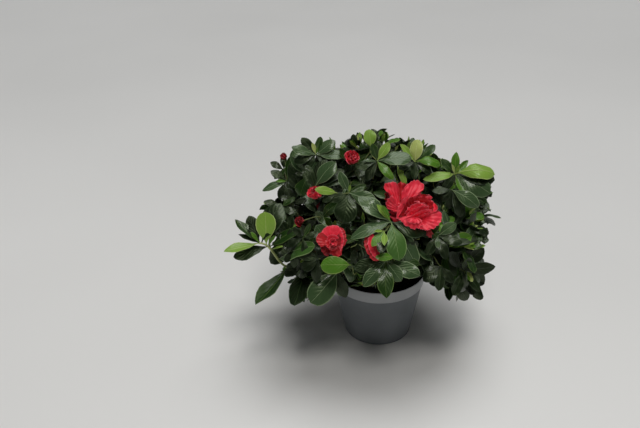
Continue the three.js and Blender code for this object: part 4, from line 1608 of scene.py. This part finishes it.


# One red in three shades: open is the lit red, and inner and closed are darker copies painted as shade,
# closed partly also the deeper red of tight buds. Each edge colour is paler, a painted highlight on the
# petals' rims.
petalLooks = {
    "open": {"colour": (240, 42, 66), "edge": (244, 96, 112), "wander": (9.0, 12.0, 3.1)},
    "inner": {"colour": (192, 11, 27), "edge": (214, 42, 56), "wander": (6.0, 9.0, 4.7)},
    "closed": {"colour": (146, 6, 17), "edge": (184, 32, 45), "wander": (4.0, 7.0, 5.3)},
}
for shoot in shoots:
    if "bloom" in shoot:
        addBloom(shoot)
# Each kind's pieces: its petals, and the strips along their rims in the paler edge colour, a painted
# highlight.
for kind, look in petalLooks.items():
    for part, shapes, colour, shown in (("petals_", petalSheets, "colour", patches),
                                        ("petal_edges_", edgeShapes, "edge", patchEdgeHighlights)):
        cloth = petalMaterial(part + kind, look[colour], 0.5)
        finishPieces("blossom", scatterPiece(part + kind, petals[kind], shapes, look["wander"], cloth),
                     fillPiece("front_" + part + kind, *shown[kind], cloth))
finishPieces("young_foliage", tubePiece("bloom_stalks", pedicels, youngTubes, greenBark))
print("petals", {kind: len(spots) for kind, spots in petals.items()})


# Buds
budSet = {
    "green": {"colour": (150, 168, 84), "share": 0.3, "size": (5, 8), "slot": "young_foliage"},
    "red": {"colour": (176, 26, 44), "share": 0.05, "size": (8, 13), "slot": "blossom"},
}
budProfile = [(0.0, 0.10), (0.12, 0.22), (0.34, 0.32), (0.58, 0.27), (0.80, 0.14), (0.94, 0.05)]
budShapes = newCollection("budShapes")
buds = {kind: [] for kind in budSet}


def budShape(name, fat, sides=6):
    points = [Vector((t, *onCircle(radius * fat, i / sides).xy)) for t, radius in budProfile
              for i in range(sides)]
    last, tip = len(points) - sides, len(points)
    faces = ringFaces(len(budProfile), sides) + [tuple(range(sides))[::-1]]
    faces += [(last + i, last + (i + 1) % sides, tip) for i in range(sides)]
    shapeObject(name, [*points, Vector((1, 0, 0))], faces, budShapes)


def addBud(shoot):
    place, axis, draw = shoot["place"], shoot["axis"], drawsFor(shoot["label"], "bud")
    chance = draw.random()
    kinds = [kind for kind in ("red", "green") if chance < budSet[kind]["share"]]
    kind = kinds[0] if kinds else None
    if kind and not covers(place, place + axis * budSet["red"]["size"][1] * mm):
        size = draw.uniform(*budSet[kind]["size"]) * mm
        turn = turnTo(axis, around(axis, draw.uniform(0, 360)))
        buds[kind].append(spotAt(place - axis * mm, turn, size, draw.randint(0, 1)))


budShape("bud_full", 0.85)
budShape("bud_slim", 0.6)
for shoot in shoots:
    if shoot["age"] != "inner" and "bloom" not in shoot and "seen" not in shoot:
        addBud(shoot)
for kind, look in budSet.items():
    skin = petalMaterial("bud_" + kind, look["colour"], 0.55)
    finishPieces(look["slot"], scatterPiece("buds_" + kind, buds[kind], budShapes, (0.0, 9.0, 1.0), skin))
print("buds", {kind: len(spots) for kind, spots in buds.items()})


# Peat
peatSet = {
    "radius": 56.6,
    "footRadius": 40.8,
    "under": 1.5,  # how far its even top is below the solid's, as lumps rise from it
    "side": 6.0,
    "rimFrom": 0.85,
    "rimDrop": 1.6,
    "rings": 40,
    "sides": 96,
    "lumps": 6.4,
    "lumpSize": 120.0,
}


def makePeat():  # from the middle of its underside, out and up to the middle of its top
    low, high = (corner.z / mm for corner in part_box("peat"))
    top, rings = high - peatSet["under"], peatSet["rings"]
    profile = [(0, low), (peatSet["footRadius"], low), (peatSet["radius"], top - peatSet["side"])]
    for share in (r / rings for r in range(rings, 0, -1)):
        edge = max(0, (share - peatSet["rimFrom"]) / (1 - peatSet["rimFrom"]))
        profile.append((peatSet["radius"] * share, top - peatSet["rimDrop"] * edge))
    made = spin("peat_bed", [*profile, (0, top)], peatSet["sides"])
    smoothFaces(made)
    return made


def peatTree():  # lumps on what faces up
    tree, given = newNodeTree("peat lumps", {"Height": "Float", "Size": "Float"})
    lumps = addNode(tree, "ShaderNodeTexNoise", "Fac", Scale=given["Size"], Detail=6, Roughness=0.65)
    facing = partOf(tree, addNode(tree, "GeometryNodeInputNormal"), "Z")
    lift = mathNode(tree, "MULTIPLY", mathNode(tree, "SUBTRACT", lumps, 0.55), given["Height"])
    lift = mathNode(tree, "MULTIPLY", mathNode(tree, "GREATER_THAN", facing, 0.5), lift)
    offset = addNode(tree, "ShaderNodeCombineXYZ", Z=lift)
    moved = addNode(tree, "GeometryNodeSetPosition", Geometry=given["Geometry"], Offset=offset)
    return endTree(tree, given, moved)


peatLook, tree, shader = newMaterial("peatMix", Roughness=0.95)
soil = ramp(tree, noiseOn(tree, 380, 6), (0.3, (22, 17, 14)), (0.55, (46, 35, 27)), (0.75, (84, 64, 46)))
tree.links.new(soil, shader["Base Color"])
bumpInto(tree, shader, noiseOn(tree, 900, 5), 1.0, 1.0)
peat = growWith(makePeat(), peatTree(), {"Height": peatSet["lumps"] * mm, "Size": peatSet["lumpSize"],
                                         "Material": peatLook})
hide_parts("peat")
finishPieces("potting_mix", peat)

# Crumbs and root fibres on the peat, by the same scattering
crumbSet = {
    "seed": 3,
    "reach": 54.0,
    "tilt": 0.15,
    "squat": (0.6, 0.8, 0.7),
    "uneven": 0.7,
    "above": 0.2,
    "castFrom": 200.0,
    "crumbs": {"count": 900, "size": (1.0, 3.4)},
    "root_fibres": {"count": 130, "size": (5.0, 14.0)},
}
# A fibre is one unit long, and its corners are angles in radians.
fibreSet = {"steps": 6, "thick": 0.022, "corners": (0, 2.1, 4.2), "sway": 0.12, "rise": 0.05}
crumbLooks = {"crumbs": peatLook,
              "root_fibres": barkMaterial("rootFibre", (126, 98, 68), (70, 52, 36), 0.9)}
crumbShapes = newCollection("crumbShapes")


def crumbShape(name, squat, offset):
    lump = bmesh.new()
    bmesh.ops.create_icosphere(lump, subdivisions=1, radius=0.5)
    for corner in lump.verts:
        corner.co *= 1 + crumbSet["uneven"] * noise.noise(corner.co * 3 + Vector((offset, 0, 0)))
        corner.co.z *= squat
    points, faces = [v.co.copy() for v in lump.verts], [[v.index for v in f.verts] for f in lump.faces]
    lump.free()
    shapeObject(name, points, faces, crumbShapes)


def fibreShape(name):
    points, steps, thick = [], fibreSet["steps"], fibreSet["thick"]
    for t in (k / steps for k in range(steps + 1)):
        sway, rise = fibreSet["sway"] * math.sin(5 * t), fibreSet["rise"] * math.sin(7 * t + 1)
        for a in fibreSet["corners"]:
            points.append(Vector((t - 0.5, sway + thick * math.cos(a), rise + thick * math.sin(a))))
    ends = [(2, 1, 0), (len(points) - 3, len(points) - 2, len(points) - 1)]
    shapeObject(name, points, ringFaces(steps + 1, 3) + ends, crumbShapes)


for i, squat in enumerate(crumbSet["squat"]):
    crumbShape("crumb_%d" % i, squat, 5.0 * i)
fibreShape("fibre")
crumbRng = random.Random(crumbSet["seed"])
ground = BVHTree.FromPolygons([v.co for v in peat.data.vertices],
                              [p.vertices[:] for p in peat.data.polygons])
for kind in ("crumbs", "root_fibres"):
    spots, each = [], crumbSet[kind]
    for _ in range(each["count"]):
        reach, a = crumbSet["reach"] * mm * math.sqrt(crumbRng.random()), crumbRng.uniform(0, 2 * math.pi)
        over = Vector((reach * math.cos(a), reach * math.sin(a), crumbSet["castFrom"] * mm))
        place = ground.ray_cast(over, -up)[0]
        size = crumbRng.uniform(*each["size"]) * mm
        tilt = crumbRng.uniform(-crumbSet["tilt"], crumbSet["tilt"])
        turn = turnTo(Vector((math.cos(a * 7), math.sin(a * 7), tilt)), up)
        index = crumbRng.randint(0, 2) if kind == "crumbs" else 3
        spots.append(spotAt(place + up * crumbSet["above"] * mm, turn, size, index))
    piece = scatterPiece("peat_" + kind, spots, crumbShapes, (0.0, 9.0, 1.0), crumbLooks[kind])
    finishPieces("potting_mix", piece)
for collection in (bladeShapes, lineShapes, petalSheets, edgeShapes, budShapes, crumbShapes):
    for spare in list(collection.objects):
        bpy.data.objects.remove(spare)
    bpy.data.collections.remove(collection)
print("peat", len(peat.data.polygons), "faces")


# Pot
potSet = {
    "height": 93.0,
    "rimRadius": 60.0,
    "baseRadius": 43.5,
    "collarHeight": 16.0,
    "collarTaper": 1.2,
    "collarStep": 1.4,
    "collarRound": 0.5,
    "step": 0.3,
    "stepOut": 0.35,
    "wall": 1.3,
    "floor": 1.8,
    "floorBevel": 1.2,
    "lip": 0.65,
    "footRound": 1.6,
    "sides": 160,
    "drainHoles": 8,
    "drainRadius": 4.0,
    "drainReach": 31.0,
    "drillDepth": 12.0,
    "drillSides": 28,
    "sharpFrom": 38,
}


def potProfile():  # from the middle of the underside, up the outside and down the inside
    p = potSet
    foot, collar = p["height"] - p["collarHeight"], p["rimRadius"] - p["collarTaper"]
    body, inner, base = collar - p["collarStep"], foot + p["wall"], p["baseRadius"]
    line = [(0, 0), (base / 2, 0), *arc(base - p["footRound"], p["footRound"], p["footRound"], -90, -10, 6)]
    line += [(lerp(base, body, t), lerp(0, foot, t)) for t in (0.2, 0.5, 0.8, 0.97)]
    line += [(body, foot - p["step"]), (body + p["stepOut"], foot)]
    line += arc(collar - p["collarRound"], foot + p["collarRound"], p["collarRound"], -90, 0, 4)
    line += [((collar + p["rimRadius"]) / 2, foot + p["collarHeight"] / 2)]
    line += arc(p["rimRadius"] - p["lip"], p["height"] - p["lip"], p["lip"], 0, 180, 8)
    within = collar - p["wall"]
    line += [(within, inner + p["step"]), (within - p["stepOut"], inner)]
    line += [(body - p["wall"], inner - p["wall"])]
    within, bevel = base - p["wall"], p["floorBevel"]
    line += [(within, p["floor"] + bevel), (within - bevel, p["floor"])]
    return [*line, (base / 2, p["floor"]), (0, p["floor"])]


def drillDrains(body):
    drills = bmesh.new()
    for i in range(potSet["drainHoles"]):
        place = onCircle(potSet["drainReach"] * mm, i / potSet["drainHoles"])
        bmesh.ops.create_cone(drills, cap_ends=True, segments=potSet["drillSides"],
                              radius1=potSet["drainRadius"] * mm, radius2=potSet["drainRadius"] * mm,
                              depth=potSet["drillDepth"] * mm, matrix=Matrix.Translation(place))
    drill = linkObject("drills", bpy.data.meshes.new("drills"))
    drills.to_mesh(drill.data)
    drills.free()
    cut = body.modifiers.new("drain", "BOOLEAN")
    cut.operation = "DIFFERENCE"
    cut.object = drill
    cut.solver = "EXACT"
    keepResult(body)
    bpy.data.objects.remove(drill)


def potMaterial():
    material, tree, shader = newMaterial("potPlastic", Specular_IOR_Level=0.4)
    clouds, step = noiseOn(tree, 26, 4), potSet["height"] - potSet["collarHeight"]
    # Painted shade: the body below the collar is painted a darker grey than the collar, for the shade that
    # falls on it below the collar's step. Both are one grey plastic.
    collar = ramp(tree, clouds, (0.3, (152, 154, 156)), (0.7, (162, 164, 166)))
    body = ramp(tree, clouds, (0.3, (94, 98, 101)), (0.7, (103, 107, 110)))
    tree.links.new(blendAlong(tree, "Z", step - 1, step + 1, body, collar), shader["Base Color"])
    roughnessInto(tree, shader, 140, 3, 0.42, 0.58)
    bumpInto(tree, shader, noiseOn(tree, 1500, 2), 0.12, 0.15)
    return material


potBody = spin("pot_shell", potProfile(), potSet["sides"])
drillDrains(potBody)
smoothFaces(potBody)
potBody.data.set_sharp_from_angle(angle=math.radians(potSet["sharpFrom"]))
potBody.data.materials.clear()
potBody.data.materials.append(potMaterial())
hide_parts("pot")
finishPieces("pot_plastic", potBody)
print("pot", len(potBody.data.polygons), "faces")


# Floor and light
floorSet = {"flat": 7.0, "turn": 2.0, "wall": 0.5, "sides": 96, "steps": 16}  # in metres
lightSet = {
    "key": {"place": (0.1, -1.0, 2.1), "aim": (0, 0, 0.14), "size": (0.7, 0.5), "power": 14.5,
            "colour": (1.0, 0.985, 0.96)},
    "overhead": {"from": (0.12, 0.2, 1.0), "spread": 42, "strength": 1.7, "colour": (0.98, 0.99, 1.0)},
    "surround": {"colour": (0.9, 0.93, 1.0, 1), "strength": 0.05},
}


def makeFloor():  # a round floor that turns up into a pale backdrop on every side
    flat, radius, wall = (floorSet[part] / mm for part in ("flat", "turn", "wall"))
    turnUp = arc(flat, radius, radius, -90, 0, floorSet["steps"])
    profile = [(0, 0), *turnUp, (flat + radius, radius + wall)]
    made = spin("floor", profile[::-1], floorSet["sides"])
    material, tree, shader = newMaterial("paleFloor", Roughness=0.75)
    tone = ramp(tree, noiseOn(tree, 1.4, 2), (0.3, (222, 221, 218)), (0.7, (228, 227, 224)))
    tree.links.new(tone, shader["Base Color"])
    smoothFaces(made)
    made.data.materials.append(material)


def addLight(name, kind, energy, towards):
    data = bpy.data.lights.new(name, kind)
    data.energy = energy
    data.color = lightSet[name]["colour"]
    made = linkObject(name, data)
    made.rotation_euler = towards.to_track_quat("-Z", "Y").to_euler()
    return made


makeFloor()
keySet, overheadSet = lightSet["key"], lightSet["overhead"]
key = addLight("key", "AREA", keySet["power"], Vector(keySet["aim"]) - Vector(keySet["place"]))
key.location = keySet["place"]
key.data.shape = "RECTANGLE"
key.data.size, key.data.size_y = keySet["size"]
overhead = addLight("overhead", "SUN", overheadSet["strength"], -Vector(overheadSet["from"]))
overhead.data.angle = math.radians(overheadSet["spread"])
world = bpy.data.worlds.new("world")
world.use_nodes = True
background = world.node_tree.nodes["Background"].inputs
background["Color"].default_value = lightSet["surround"]["colour"]
background["Strength"].default_value = lightSet["surround"]["strength"]
scene.world = world
print("light set")
